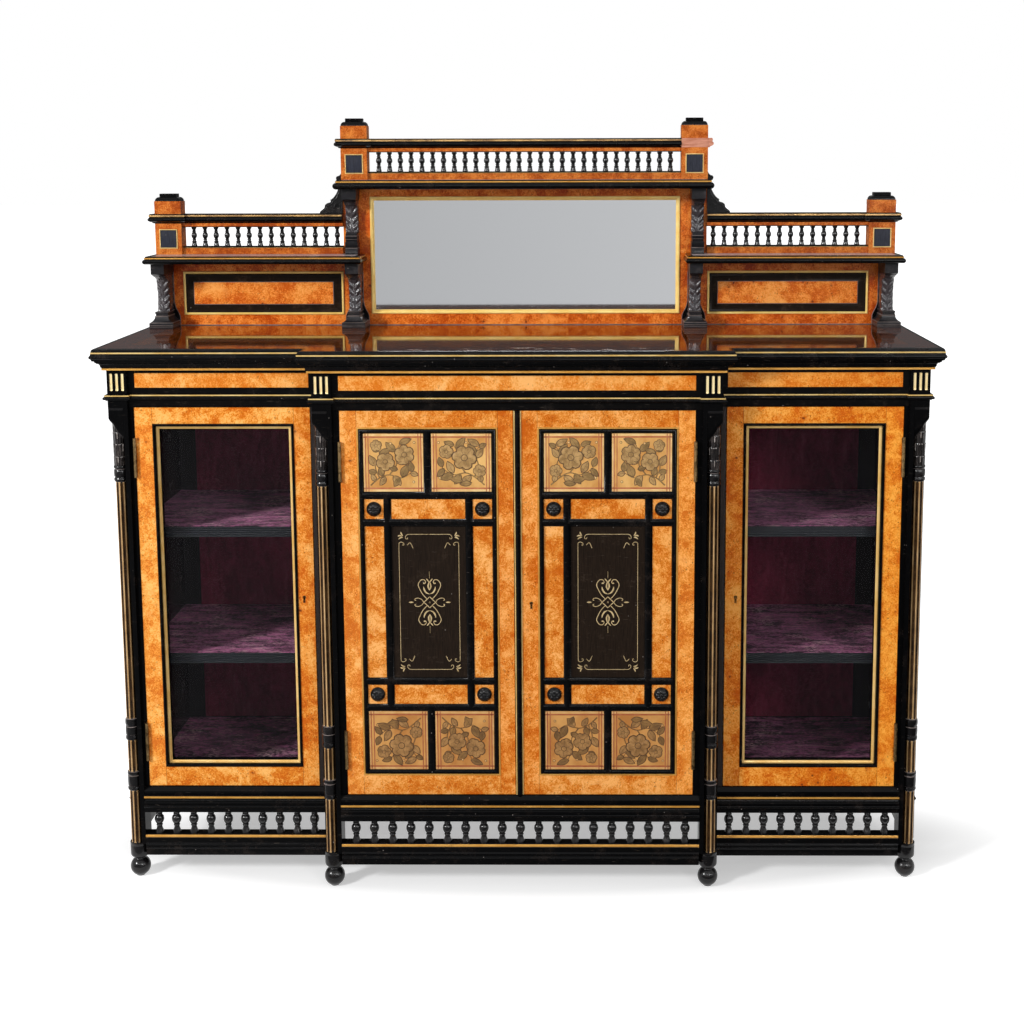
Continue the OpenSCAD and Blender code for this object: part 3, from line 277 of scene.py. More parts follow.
    def made(self, name, finishes, hides=None, body="carcass", slot=EBONY, crease=32):
        """The finished mesh object, in metres, riding on its body and standing for the solid that it hides."""
        mesh = bpy.data.meshes.new(name)
        v = np.concatenate(self.verts) * 0.001
        mesh.vertices.add(len(v))
        mesh.vertices.foreach_set("co", v.astype(np.float32).ravel())
        mesh.loops.add(sum(f.size for f, _ in self.faces))
        mesh.loops.foreach_set("vertex_index", np.concatenate([f.ravel() for f, _ in self.faces]).astype(np.int32))
        sizes = np.concatenate([np.full(len(f), f.shape[1]) for f, _ in self.faces])
        mesh.polygons.add(len(sizes))
        mesh.polygons.foreach_set("loop_start", (np.cumsum(sizes) - sizes).astype(np.int32))
        for m in finishes:
            mesh.materials.append(m)
        mesh.polygons.foreach_set("material_index", np.concatenate([m for _, m in self.faces]).astype(np.int32))
        mesh.update(calc_edges=True)
        mesh.shade_smooth()
        mesh.set_sharp_from_angle(angle=math.radians(crease))
        obj = bpy.data.objects.new(name, mesh)
        bpy.context.scene.collection.objects.link(obj)
        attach(obj, body)
        if hides:
            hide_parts(hides)
        return obj


# ---------------------------------------------------------------- finishes
def tone(r, g, b):
    """Linear colour of an sRGB colour given from 0 to 255."""
    c = np.array([r, g, b]) / 255
    return (*np.where(c <= 0.04045, c / 12.92, ((c + 0.055) / 1.055) ** 2.4), 1.0)


class Net:
    """Places and links the nodes of one tree. Its calls return sockets."""

    def __init__(self, tree):
        self.tree = tree

    def feed(self, node, inputs):
        """Sets inputs, given by name or number, to values or to other sockets."""
        for key, value in dict(inputs).items():
            if isinstance(value, bpy.types.NodeSocket):
                self.tree.links.new(value, node.inputs[key])
            else:
                node.inputs[key].default_value = value
        return node.outputs

    def node(self, kind, inputs=(), **settings):
        n = self.tree.nodes.new("ShaderNode" + kind)
        for key, value in settings.items():
            setattr(n, key, value)
        return self.feed(n, inputs)

    def use(self, tree, **inputs):
        """A group placed in this tree."""
        return self.node("Group", inputs, node_tree=tree)

    def maths(self, operation, a, b=0.0, c=0.0):
        return self.node("Math", {0: a, 1: b, 2: c}, operation=operation)[0]

    def mix(self, factor, a, b, blend="MIX"):
        """Two colours mixed; plain ones are given in sRGB from 0 to 255."""
        a, b = (tone(*c) if isinstance(c, tuple) else c for c in (a, b))
        return self.node("Mix", {0: factor, 6: a, 7: b}, data_type="RGBA", blend_type=blend)[2]

    def tint(self, factor, colour, by):
        return self.mix(factor, colour, self.mix(1.0, colour, by, "MULTIPLY"))

    def ramp(self, factor, *stops):
        """Grey levels at places of the factor."""
        n = self.tree.nodes.new("ShaderNodeValToRGB")
        while len(n.color_ramp.elements) < len(stops):
            n.color_ramp.elements.new(0.5)
        for e, (place, level) in zip(n.color_ramp.elements, stops):
            e.position, e.color = place, (level, level, level, 1)
        return self.feed(n, {0: factor})["Color"]

    def fade(self, factor, zero, one):
        """A mask that goes from 0 to 1 between two places of the factor."""
        return self.ramp(factor, *sorted(((zero, 0.0), (one, 1.0))))

    def noise(self, vector, scale, detail=3.0, rough=0.55, distort=0.0, out="Fac"):
        return self.node("TexNoise", {"Vector": vector, "Scale": scale, "Detail": detail, "Roughness": rough,
                                      "Distortion": distort})[out]

    def cells(self, vector, scale):
        return self.node("TexVoronoi", {"Vector": vector, "Scale": scale, "Randomness": 1.0})

    def stretch(self, vector, scale, turn=(0, 0, 0), move=(0, 0, 0)):
        return self.node("Mapping", {"Vector": vector, "Scale": scale, "Rotation": turn, "Location": move})[0]

    def objects(self):
        return self.node("TexCoord")["Object"]

    def along(self, axis):
        """One coordinate of a point of the object, in metres."""
        return self.node("SeparateXYZ", {0: self.objects()})[axis]

    def seen(self):
        """1 for rays from the camera and through glass or mirrors, 0 for the light that falls on things."""
        path = self.node("LightPath")
        return self.top(path["Is Camera Ray"], self.top(path["Is Glossy Ray"], path["Is Transmission Ray"]))


for label, operation in dict(mul="MULTIPLY", mad="MULTIPLY_ADD", plus="ADD", less="SUBTRACT", top="MAXIMUM",
                             low="MINIMUM", under="LESS_THAN", over="GREATER_THAN", size="ABSOLUTE",
                             sine="SINE").items():
    setattr(Net, label, partialmethod(Net.maths, operation))


class Finish(Net):
    """A material under way; plain values go straight onto its shader's sockets."""

    def __init__(self, name, **sockets):
        self.material = bpy.data.materials.new(name)
        self.material.use_nodes = True
        super().__init__(self.material.node_tree)
        self.shader = self.tree.nodes["Principled BSDF"]
        self.given(**sockets)

    def given(self, **sockets):
        self.feed(self.shader, {key.replace("_", " "): value for key, value in sockets.items()})
        return self.material

    def bumped(self, height, strength, distance):
        bump = self.node("Bump", {"Height": height, "Strength": strength, "Distance": distance})
        return self.given(Normal=bump[0])


def group(name, takes, gives):
    """A new node group with inputs of the given kinds and outputs of the given names. Returns its net, the input
    node's sockets and a call that links the outputs."""
    tree = bpy.data.node_groups.new(name, "ShaderNodeTree")
    for label, kind in takes.items():
        tree.interface.new_socket(name=label, in_out="INPUT", socket_type="NodeSocket" + kind)
    for label in gives:
        kind = "Color" if label == "Color" else "Float"
        tree.interface.new_socket(name=label, in_out="OUTPUT", socket_type="NodeSocket" + kind)
    given, result = tree.nodes.new("NodeGroupInput").outputs, tree.nodes.new("NodeGroupOutput")

    def give(**sockets):
        Net(tree).feed(result, sockets)
        return tree
    return Net(tree), given, give


def burl_group():
    """Burr veneer: soft clouds of colour, fine grain at two scales, dark eyes in clusters, and knots with a halo."""
    takes = dict(Vector="Vector", Scale="Float", Pale="Color", Middle="Color", Deep="Color", Dark="Color", Eyes="Float")
    n, given, give = group("burl figure", takes, ("Color", "Roughness", "Height"))
    v = n.node("VectorMath", {0: given["Vector"], "Scale": given["Scale"]}, operation="SCALE")[0]
    warped = n.node("VectorMath", {0: n.noise(v, 14.0, out="Color"), 1: (0.03, 0.03, 0.03), 2: v},
                    operation="MULTIPLY_ADD")[0]
    grains, cluster = n.noise(warped, 150.0, 4.0, 0.7, 1.4), n.fade(n.noise(v, 30.0), 0.42, 0.58)
    figure = n.mul(n.noise(warped, 26.0, 5.0, 0.6, 0.3), 0.38)
    for share, part in ((0.14, n.noise(v, 3.2, 2.0)), (0.29, grains), (0.19, n.noise(v, 430.0, 2.0, 0.6))):
        figure = n.mad(part, share, figure)
    body = n.mix(n.fade(figure, 0.435, 0.502), given["Deep"], given["Middle"])
    body = n.mix(n.fade(figure, 0.494, 0.566), body, given["Pale"])
    small, large = n.cells(warped, 165.0), n.cells(warped, 34.0)
    eyes = n.mul(n.fade(small["Distance"], 0.27, 0.08), n.mad(cluster, 0.85, 0.15))
    eyes = n.mul(eyes, n.fade(n.node("SeparateColor", {0: small["Color"]})[0], 0.45, 0.75))
    few = n.fade(n.node("SeparateColor", {0: large["Color"]})[1], 0.62, 0.75)
    knot = n.mul(n.fade(large["Distance"], 0.12, 0.05), few)
    halo = n.mul(n.ramp(large["Distance"], (0.08, 0.5), (0.42, 0.0)), few)
    fleck = n.fade(n.noise(n.stretch(warped, (1, 1, 0.4)), 380.0, 2.0), 0.60, 0.72)
    mark = n.top(n.top(n.mul(eyes, 0.95), n.mul(knot, 0.9)), n.mul(n.mul(fleck, cluster), 0.6))
    mark = n.mul(mark, given["Eyes"])
    body = n.mix(n.mul(halo, given["Eyes"]), body, given["Deep"])
    return give(Color=n.mix(mark, body, given["Dark"]), Roughness=n.mad(grains, 0.14, 0.2),
                Height=n.less(n.mul(grains, 0.5), n.mul(mark, 0.6)))


def rub_group():
    """Handling marks: masks of rubbed patches from broad noise, of long thin scratches, and of rare pale chips."""
    n, given, give = group("rubbed marks", dict(Vector="Vector", Amount="Float"), ("Patches", "Scratches", "Chips"))
    v, amount = given["Vector"], given["Amount"]
    fine = n.noise(v, 240.0, 3.0, 0.6)
    level = n.less(0.74, n.mul(amount, 0.2))
    patches = n.mul(n.less(n.mad(fine, 0.25, n.noise(v, 26.0, 5.0, 0.65)), level), 6.0)
    lines = n.noise(n.stretch(v, (9, 9, 120), (0.2, 0.5, 0.3)), 5.0, 2.0)
    cells = n.cells(v, 70.0)
    few = n.fade(n.node("SeparateColor", {0: cells["Color"]})[0], 0.80, 0.82)
    chip = n.fade(n.mad(fine, 0.06, cells["Distance"]), 0.11, 0.085)
    return give(Patches=n.node("Clamp", {0: patches})[0], Scratches=n.mul(n.fade(lines, 0.69, 0.73), amount),
                Chips=n.mul(n.mul(chip, few), amount))


def grain_group():
    """Straight grain: noise stretched along one axis, with fine pores."""
    n, given, give = group("straight grain", dict(Vector="Vector", Pores="Float"), ("Tone", "Height"))
    streak = n.noise(given["Vector"], 18.0, 5.0, 0.6, 0.3)
    pores = n.fade(n.noise(given["Vector"], 150.0, 2.0), 0.6, 0.7)
    return give(Tone=streak, Height=n.less(streak, n.mul(pores, given["Pores"])))


BURL_FIGURE, RUBBED, GRAIN = burl_group(), rub_group(), grain_group()


def veneer(name, move=(0, 0, 0), scale=1.0, eyes=1.0, pale=(252, 186, 102), middle=(232, 144, 44), deep=(204, 98, 8),
           dark=(104, 40, 8), polished=False, stiles=None, right_shade=None, rear=None):
    """Amboyna burr veneer, waxed, or polished as bright as a table top. Where stiles = (inner, outer), two distances
    from the middle of the front in metres, the stiles show other parts of the figure than the rails and are tinted
    deeper inside and paler outside. right_shade is the tint of a painted shade that grows towards the right-hand end,
    where less light falls; behind the plane y = rear the board is bare stained wood."""
    n = Finish(name, Coat_Weight=0.0 if polished else 0.08, Coat_Roughness=0.1,
               Specular_IOR_Level=0.5 if polished else 0.16)
    v = n.objects()
    if stiles:
        side = n.size(n.along("X"))
        inner, outer = n.under(side, stiles[0]), n.over(side, stiles[1])
        shift = n.node("CombineXYZ", {"X": n.mul(inner, 0.6), "Y": n.mul(outer, 0.9)})[0]
        v = n.node("VectorMath", {0: v, 1: shift}, operation="ADD")[0]
    g = n.use(BURL_FIGURE, Vector=n.stretch(v, (1, 1, 1), move=move), Scale=scale, Pale=tone(*pale),
              Middle=tone(*middle), Deep=tone(*deep), Dark=tone(*dark), Eyes=eyes)
    colour = g["Color"]
    if stiles:
        # the inner stiles are tinted deeper and the outer ones lightened
        colour = n.tint(n.mul(inner, 0.2), colour, (246, 196, 120))
        colour = n.mix(n.mul(outer, 0.07), colour, pale, "ADD")
        joint = n.low(*(n.size(n.less(side, place)) for place in stiles))
        colour = n.mix(n.mul(n.under(joint, 0.0005), 0.5), colour, dark)
    if right_shade:
        # painted shade: the veneer turns warmer and darker towards the right-hand end, where less light falls
        colour = n.tint(n.fade(n.mad(n.along("X"), 0.5, 0.5), 0.55, 0.85), colour, right_shade)
    if rear:
        bare = n.use(GRAIN, Vector=n.stretch(n.objects(), (3, 40, 40)), Pores=0.6)["Tone"]
        colour = n.mix(n.over(n.along("Y"), rear), colour, n.mix(n.fade(bare, 0.3, 0.7), (64, 44, 30), (104, 74, 50)))
    n.given(Base_Color=colour, Roughness=0.05 if polished else g["Roughness"])
    return n.bumped(g["Height"], *((0.006, 0.0001) if polished else (0.12, 0.0003)))


def ebonised(name, body=(8, 8, 9), worn=(42, 33, 28), amount=0.25, rough=0.18, grain=(40, 40, 3), gloss=0.065,
             **sockets):
    """Black-stained, polished wood, rubbed brown here and there, with fine scratches, chips and faint grain."""
    n = Finish(name, Specular_IOR_Level=gloss, **sockets)
    g = n.use(GRAIN, Vector=n.stretch(n.objects(), grain), Pores=0.5)
    r = n.use(RUBBED, Vector=n.objects(), Amount=amount)
    colour = n.mix(n.fade(g["Tone"], 0.35, 0.7), *(tuple(k * c for c in body) for k in (0.8, 1.25)))
    colour = n.mix(n.mul(r["Patches"], 0.35), colour, worn)
    colour = n.mix(n.mul(r["Scratches"], 0.5), colour, (120, 108, 98))
    n.given(Base_Color=n.mix(r["Chips"], colour, (190, 180, 172)), Roughness=n.plus(rough, n.mul(r["Patches"], 0.2)))
    return n.bumped(g["Height"], 0.06, 0.0002)


def gilding(name, leaf=(232, 180, 92), shade=(208, 148, 62), loss=0.35, metal=0.4, rough=0.32):
    """Water gilding: leaf that varies a little in tone, with dark losses where it has rubbed away."""
    n = Finish(name)
    v = n.objects()
    colour = n.mix(n.fade(n.noise(v, 24.0, 4.0, 0.6), 0.38, 0.62), shade, leaf)
    patch, bits = n.fade(n.noise(v, 9.0, 3.0, 0.6), 0.52, 0.6), n.fade(n.noise(v, 260.0, 5.0, 0.7), 0.52, 0.60)
    gone = n.mul(n.mul(bits, patch), loss)
    n.given(Base_Color=n.mix(gone, colour, (48, 34, 24)), Metallic=n.mul(n.less(1.0, gone), metal),
            Roughness=n.plus(rough, n.mul(gone, 0.25)))
    return n.bumped(n.noise(v, 500.0), 0.12, 0.0002)


def plain_wood(name, dark, light, grain=(3, 40, 40), gloss=0.3, inside=None):
    """Straight-grained wood, stained, with a near-black painted shade where it faces the inside of the cabinet, in
    front of the plane y = inside.
    """
    n = Finish(name, Specular_IOR_Level=gloss)
    g = n.use(GRAIN, Vector=n.stretch(n.objects(), grain), Pores=0.6)
    colour = n.mix(n.fade(g["Tone"], 0.3, 0.7), dark, light)
    if inside:
        # painted shade: near black on the faces towards the inside of the cabinet
        colour = n.mix(n.under(n.along("Y"), inside), colour, n.mix(g["Tone"], (7, 6, 6), (14, 12, 12)))
    n.given(Base_Color=colour, Roughness=n.plus(0.55, n.mul(g["Tone"], 0.1)))
    return n.bumped(g["Height"], 0.3, 0.0005)


def metal(name, bright=(196, 160, 92), dull=(96, 72, 40), rough=0.32):
    """Old lacquered brass with brown tarnish."""
    n = Finish(name, Metallic=1.0)
    tarnish = n.fade(n.noise(n.objects(), 55.0, 5.0, 0.65), 0.42, 0.62)
    n.given(Base_Color=n.mix(tarnish, bright, dull), Roughness=n.plus(rough, n.mul(tarnish, 0.25)))
    return n.bumped(n.noise(n.objects(), 700.0, 2.0), 0.1, 0.0001)


def painted(name, colour, other, scale=80.0, rough=0.4, stretch=(1, 1, 1), aged=None):
    """A hand-painted or inlaid tone, or a painted highlight, that varies a little from place to place. Below a height
    of 0.5 m it is darkened by the tint aged, a painted shade where less light falls."""
    n = Finish(name, Specular_IOR_Level=0.4)
    v = n.stretch(n.objects(), stretch)
    mask = n.fade(n.noise(v, scale, 4.0, 0.6), 0.36, 0.64)
    body = n.mix(mask, colour, other)
    if aged:
        # painted shade: darker below 0.5 m, where less light falls
        body = n.tint(n.under(n.along("Z"), 0.5), body, aged)
    n.given(Base_Color=body, Roughness=n.plus(rough, n.mul(mask, 0.1)))
    return n.bumped(n.noise(v, 420.0, 2.0), 0.08, 0.0002)


def velvet(name, deep=(14, 5, 10), raised=(226, 132, 182), worn=(252, 214, 212), crush=(0.52, 0.68),
           stretch=(5, 16, 16), crushed=(5, 24, 24)):
    """Worn cotton velvet: the pile lies in dark and light streaks, crushed pale along finer lines and worn in places,
    with a sheen at low angles."""
    n = Finish(name, Roughness=0.9, Specular_IOR_Level=0.1, Sheen_Weight=0.5, Sheen_Roughness=0.4,
               Sheen_Tint=tone(200, 150, 180))
    v = n.objects()
    streaks = n.noise(n.stretch(v, stretch), 2.2, 7.0, 0.78, 0.9)
    tufts = n.noise(n.stretch(v, (0.5, 1, 1)), 260.0, 3.0, 0.7)
    colour = n.mix(n.fade(n.mad(tufts, 0.42, n.mul(streaks, 0.74)), *crush), deep, raised)
    bare = n.mul(n.fade(n.noise(v, 13.0), 0.55, 0.66), n.fade(tufts, 0.5, 0.62))
    lines = n.fade(n.noise(n.stretch(v, [2.2 * q for q in crushed]), 2.0, 4.0, 0.7, 0.4), 0.54, 0.68)
    bare = n.top(bare, n.mul(n.mul(lines, n.fade(streaks, 0.42, 0.56)), 0.75))
    n.given(Base_Color=n.mix(bare, colour, worn))
    return n.bumped(n.mad(tufts, 0.5, streaks), 0.5, 0.0012)


def clear_glass(name):
    """Old window glass, seen mostly by its reflections."""
    n = Finish(name, Base_Color=tone(74, 72, 76), Roughness=0.02, IOR=1.5)
    return n.given(Alpha=n.mad(n.node("LayerWeight", {"Blend": 0.2})["Fresnel"], 0.4, 0.04))


def mirror_plate(name):
    """Silvered plate: a clear reflection with a few grey specks and a misty edge."""
    n = Finish(name, Metallic=1.0)
    specks = n.fade(n.noise(n.objects(), 240.0, 4.0, 0.7), 0.70, 0.74)
    mist = n.fade(n.noise(n.objects(), 5.0), 0.3, 0.7)
    return n.given(Base_Color=n.mix(n.mul(specks, 0.5), (232, 234, 236), (120, 118, 112)),
                   Roughness=n.mad(mist, 0.03, 0.02))


def reeded_nose(name, front=-0.100, tops=(0.715, 0.453), step=0.0043):
    """Black shelf whose front edge has reeds: in front of the plane y = front the colour goes from painted shade
    in the hollows to a painted highlight on the crowns, by |sin| of the height below a shelf's top divided by the
    reeds' step; dull black behind."""
    n = Finish(name, Specular_IOR_Level=0.12)
    z = n.along("Z")
    down = n.less(n.mad(n.under(z, 0.55), tops[1] - tops[0], tops[0]), z)
    wave = n.size(n.sine(n.mul(down, math.pi / step)))
    g = n.use(GRAIN, Vector=n.stretch(n.objects(), (2.5, 60, 60)), Pores=0.5)
    # painted shade in the reeds' hollows and painted highlight on their crowns
    reed_shading = n.mix(n.fade(wave, 0.2, 0.85), (15, 16, 18), (48, 52, 57))
    reed_shading = n.mix(n.mul(g["Tone"], 0.3), reed_shading, (26, 28, 30))
    n.given(Base_Color=n.mix(n.under(n.along("Y"), front), (13, 12, 13), reed_shading), Roughness=n.mad(g["Tone"], 0.2, 0.22))
    return n.bumped(g["Height"], 0.06, 0.0002)


# tint of the painted shade towards the right-hand end
right_shade_tint = (250, 230, 168)
wing_burl = veneer("amboyna_wing_doors", (0.31, 0.2, 0.11), stiles=(0.4375, 0.7134), right_shade=right_shade_tint)
mid_look = dict(move=(1.7, 0.4, 0.6), pale=(248, 178, 102), middle=(224, 138, 46), deep=(198, 96, 8), right_shade=right_shade_tint)
mid_burl = veneer("amboyna_centre_doors", stiles=(0.038, 0.3093), **mid_look)
field_burl = veneer("amboyna_centre_fields", **mid_look)
pale_burl = veneer("amboyna_frieze", (2.6, 0.1, 0.3), pale=(248, 180, 104), middle=(234, 150, 60), deep=(216, 114, 20),
                   eyes=0.7, right_shade=right_shade_tint)
red_burl, board_burl, top_burl, post_burl = (
    veneer("amboyna_" + label, move, scale, 1.0, *tones, **more) for label, move, scale, tones, more in (
        ("niches", (0.9, 1.3, 0.7), 1.1, ((255, 170, 84), (240, 138, 46), (206, 88, 8), (104, 38, 4)), {}),
        ("backboard", (1.9, 1.3, 0.7), 1.1, ((248, 150, 64), (224, 112, 28), (180, 66, 4), (96, 34, 4)),
         dict(rear=0.2295)),
        ("worktop", (4.2, 0.8, 0.2), 1.0, ((120, 58, 6), (98, 44, 4), (70, 30, 3), (34, 14, 3)), dict(polished=True)),
        ("posts", (3.1, 2.3, 0.9), 1.2, ((224, 134, 56), (198, 100, 30), (158, 66, 8), (84, 32, 6)), {})))

(ebony, ebony_carved, ebony_turned, bud_carved, flute_hollow, console_carved, ebony_flat, ebony_panel, ebony_frieze,
 ebony_niche, ebony_rail, crossband, slate_panel, top_line) = (
    ebonised(label, body, worn, amount, rough, grain, gloss) for label, body, worn, amount, rough, grain, gloss in (
        ("ebonised_polish", (8, 8, 9), (42, 33, 28), 0.25, 0.18, (40, 40, 3), 0.065),
        ("ebonised_carving", (18, 17, 18), (42, 33, 28), 0.4, 0.18, (40, 40, 3), 0.3),
        ("ebonised_turning", (20, 19, 20), (42, 33, 28), 0.4, 0.14, (40, 40, 3), 0.5),
        ("ebonised_leaf_carving", (35, 31, 30), (88, 76, 70), 0.7, 0.2, (40, 40, 3), 0.5),
        ("stained_flute_hollows", (28, 19, 11), (92, 62, 26), 0.9, 0.18, (40, 40, 3), 0.12),
        ("ebonised_console_carving", (58, 54, 57), (96, 86, 86), 0.5, 0.18, (40, 40, 3), 0.6),
        ("ebonised_board", (25, 24, 27), (70, 64, 62), 0.5, 0.3, (60, 60, 4), 0.25),
        ("ebonised_panel", (34, 26, 20), (64, 50, 39), 0.3, 0.18, (50, 50, 2.2), 0.1),
        ("ebonised_frieze", (11, 10, 10), (46, 38, 32), 0.35, 0.16, (2.5, 60, 60), 0.09),
        ("ebonised_niche_borders", (30, 22, 16), (70, 50, 34), 0.4, 0.18, (2.5, 60, 60), 0.065),
        ("ebonised_moulding", (7, 7, 8), (42, 33, 28), 0.4, 0.15, (2.5, 60, 60), 0.12),
        ("dark_crossbanding", (78, 40, 30), (96, 58, 46), 0.5, 0.05, (60, 4, 60), 0.5),
        ("slate_squares", (42, 44, 54), (66, 64, 66), 0.2, 0.3, (40, 40, 3), 0.2),
        ("worktop_line", (8, 8, 9), (42, 33, 28), 0.25, 0.05, (40, 40, 3), 0.5)))
shelf_polish = ebonised("ebonised_shelf_tops", (34, 29, 30), amount=0.4, rough=0.2, grain=(3, 40, 40), gloss=0.5,
                        Sheen_Weight=0.5, Sheen_Roughness=0.3, Sheen_Tint=tone(214, 196, 194))
ebony_shelf = reeded_nose("ebonised_inner_shelves")
gilt, gilt_worn, gilt_pale, gilt_slip, gilt_bright, gilt_cream, gilt_fillet, gilt_flute = (
    gilding("gilding" + label, leaf, shade, loss, shine, rough) for label, leaf, shade, loss, shine, rough in (
        ("", (230, 172, 84), (212, 150, 62), 0.35, 0.4, 0.32),
        ("_worn", (186, 146, 84), (126, 92, 46), 1.0, 0.3, 0.32),
        ("_pale", (244, 212, 142), (226, 184, 104), 0.3, 0.3, 0.32),
        ("_slips", (244, 204, 132), (230, 180, 98), 0.12, 0.2, 0.26),
        ("_bright", (255, 222, 136), (248, 204, 108), 0.1, 0.15, 0.28),
        ("_cream", (255, 232, 178), (244, 214, 150), 0.1, 0.15, 0.35),
        ("_fillets", (212, 176, 126), (184, 142, 90), 0.4, 0.2, 0.32),
        ("_flutes", (120, 84, 42), (76, 50, 24), 0.5, 0.3, 0.32)))
brass, brass_dark = metal("brass"), metal("brass_hinges", (176, 146, 100), (70, 54, 36), 0.34)
carcass_wood = plain_wood("stained_carcass", (26, 19, 16), (46, 34, 28))
back_wood = plain_wood("stained_backs_painted_shade_inside", (56, 39, 27), (96, 68, 46), (40, 40, 3), 0.12, 0.222)
# painted highlight: a light grey for thin fillets, ring steps and edges where highlights fall
edge_highlight = painted("painted_edge_highlights", (132, 120, 116), (92, 82, 78), 60)
# painted highlight for the tips of the carved leaves
tip_highlight = painted("painted_leaf_tip_highlights", (196, 186, 180), (120, 110, 104), 120, 0.3)
bare_wood = painted("bare_wood", (214, 150, 124), (186, 112, 82), 40, 0.7, (1, 1, 6))
inlay = painted("inlay_pale", (214, 190, 142), (176, 150, 104), 160, 0.35)
# the last tint of each tile finish is a painted shade on the lower tiles, below 0.5 m
TILE_FINISHES = [painted("tile_" + label, colour, other, scale, 0.4, stretch, (228, 212, 198))
                 for label, colour, other, scale, stretch in (
                     ("gold_ground", (228, 180, 106), (196, 136, 62), 18, (1, 1, 0.6)),
                     ("cream_band", (236, 200, 138), (220, 172, 104), 50, (1, 1, 1)),
                     ("red_line", (168, 84, 50), (186, 112, 74), 90, (1, 1, 1)),
                     ("leaf", (160, 126, 74), (118, 90, 48), 60, (1, 1, 1)),
                     ("blossom", (188, 150, 94), (142, 108, 60), 90, (1, 1, 1)),
                     ("outline", (84, 58, 34), (100, 72, 44), 90, (1, 1, 1)))]
cloth = velvet("velvet_pile")
cloth_back = velvet("velvet_backs", (108, 26, 50), (150, 50, 78), (150, 62, 84), (0.48, 0.72), (16, 16, 5), (24, 24, 3))
glass, mirror = clear_glass("window_glass"), mirror_plate("mirror_plate")


# ---------------------------------------------------------------- carcass pieces
BAYS = ((-MID_POST_IN, MID_POST_IN, CENTRE_Y), (CENTRE_X, POST_IN, WING_Y), (-POST_IN, -CENTRE_X, WING_Y))


def breakfront(inset=0.0):
    """The carcass's outline in plan, open at the back, or one a distance inside it."""
    x1, x2 = WING_X - inset, CENTRE_X - inset
    half = [(x2, CENTRE_Y + inset), (x2, WING_Y + inset), (x1, WING_Y + inset), (x1, BACK_Y)]
    return mirrored(half) + half


def worktop(border=-34, line=-36):
    """The board with its field, dark line and crossbanded border, each a breakfront outline inside the last."""
    s = Shape()
    under = TOP_UNDER + 0.2
    for finish, (a, b) in enumerate(((11.8, border), (border, line))):
        s.sweep(breakfront(), [(a, under), (a, TOP_Z), (b, TOP_Z), (b, under)], finish)
    s.prism(breakfront(-line), under, TOP_Z, 2)
    s.made("worktop_board", [crossband, top_line, top_burl], "worktop", slot=BURL)


def cornice():
    """Ebonised edge moulding with a gilt fillet under the top edge and one over the frieze."""
    edge = section([(-9.5, 0.2)], 1, [(6.9, 0.2)], [(6.9, 4), (6.2, 4.6), (8.3, 6.2), (8.6, 8)],
                   arc(14.6, 8.2, 6, 178, 96, 5), [(14.4, 15.2), (16.2, 15.8), (17, 18.6), (20.6, 19.6), (21.4, 22)],
                   arc(21.2, 27.4, 3.75, -72, 62, 7), [(22, 33.6)], 2, [(22.3, 34.2)], [(22.3, 36.9), (21.2, 37.4)],
                   arc(16.4, 38.3, 5.1, 6, 90, 5), [(12, 43.5), (12, 22.1), (-9.5, 22.1)], z=CORNICE_Z)
    Shape().sweep(breakfront(), *edge, cap=0).made("cornice_moulding", [ebony_rail, gilt, gilt_pale], "cornice")


def frieze_moulding():
    """Astragal that breaks forward round the posts, with a gilt fillet on top."""
    half = [(MID_POST_IN, CENTRE_Y + FRIEZE_SET), (MID_POST_IN, CENTRE_Y), (CENTRE_X, CENTRE_Y),
            (CENTRE_X, WING_Y + FRIEZE_SET), (POST_IN, WING_Y + FRIEZE_SET), (POST_IN, WING_Y), (WING_X, WING_Y),
            (WING_X, BACK_Y)]
    bead = section([(0, -0.1), (3.6, -0.1)], 1, [(4.8, -1)], [(4.8, -3.4), (4, -3.9)], arc(4.3, -7.1, 3.2, 70, -70, 7),
                   [(2.9, -10.4), (2.6, -11.9), (0, -11.9)], z=FRIEZE_Z)
    s = Shape().sweep(mirrored(half) + half, *bead, cap=0)
    s.made("frieze_astragal", [ebony_rail, gilt_pale], "frieze_moulding")


def frieze_veneers():
    """Veneered fields of the frieze, let into the rail and edged with a thin black line."""
    s = Shape()
    for x0, x1, y in ((-341.5, 341.5, CENTRE_Y), (406, 743.5, WING_Y), (-743.5, -406, WING_Y)):
        s.slab(x0, x1, y + FRIEZE_SET - 0.8, y + FRIEZE_SET + 1, 1004.3, 1032.9, 0, 0.3)
    s.made("frieze_fields", [pale_burl], slot=BURL)


def frieze_flutes():
    """Gilt linings of the three flutes in each frieze block: half-round hollows with round ends."""
    a = np.radians(np.linspace(196, 344, 9))
    ends, shrink = np.array([0, 0.4, 1.4, 3.0]), np.array([0.15, 0.62, 0.9, 1.0])
    z = np.concatenate([FRIEZE_Z + 7.1 + ends, CORNICE_Z - 7.1 - ends[::-1]])
    k = np.concatenate([shrink, shrink[::-1]])[:, None]
    s = Shape()
    for x, y in ((WING_X, WING_Y), (CENTRE_X, CENTRE_Y)):
        for side in (1, -1):
            for i in (-1, 0, 1):
                cx = side * (x - POST_W / 2 + i * 11)
                skins = [np.stack([cx + 3.4 * k * np.cos(b), y + face - deep * k * np.sin(b)], -1)
                         for b, face, deep in ((a, -0.15, 1.3), (a[::-1], 0.9, 2.0))]
                xy = np.concatenate(skins, 1)
                s.loft(np.concatenate([xy, np.broadcast_to(z[:, None, None], (*xy.shape[:2], 1))], 2), 0)
    s.made("frieze_flutes", [gilt_cream], slot=GILT)


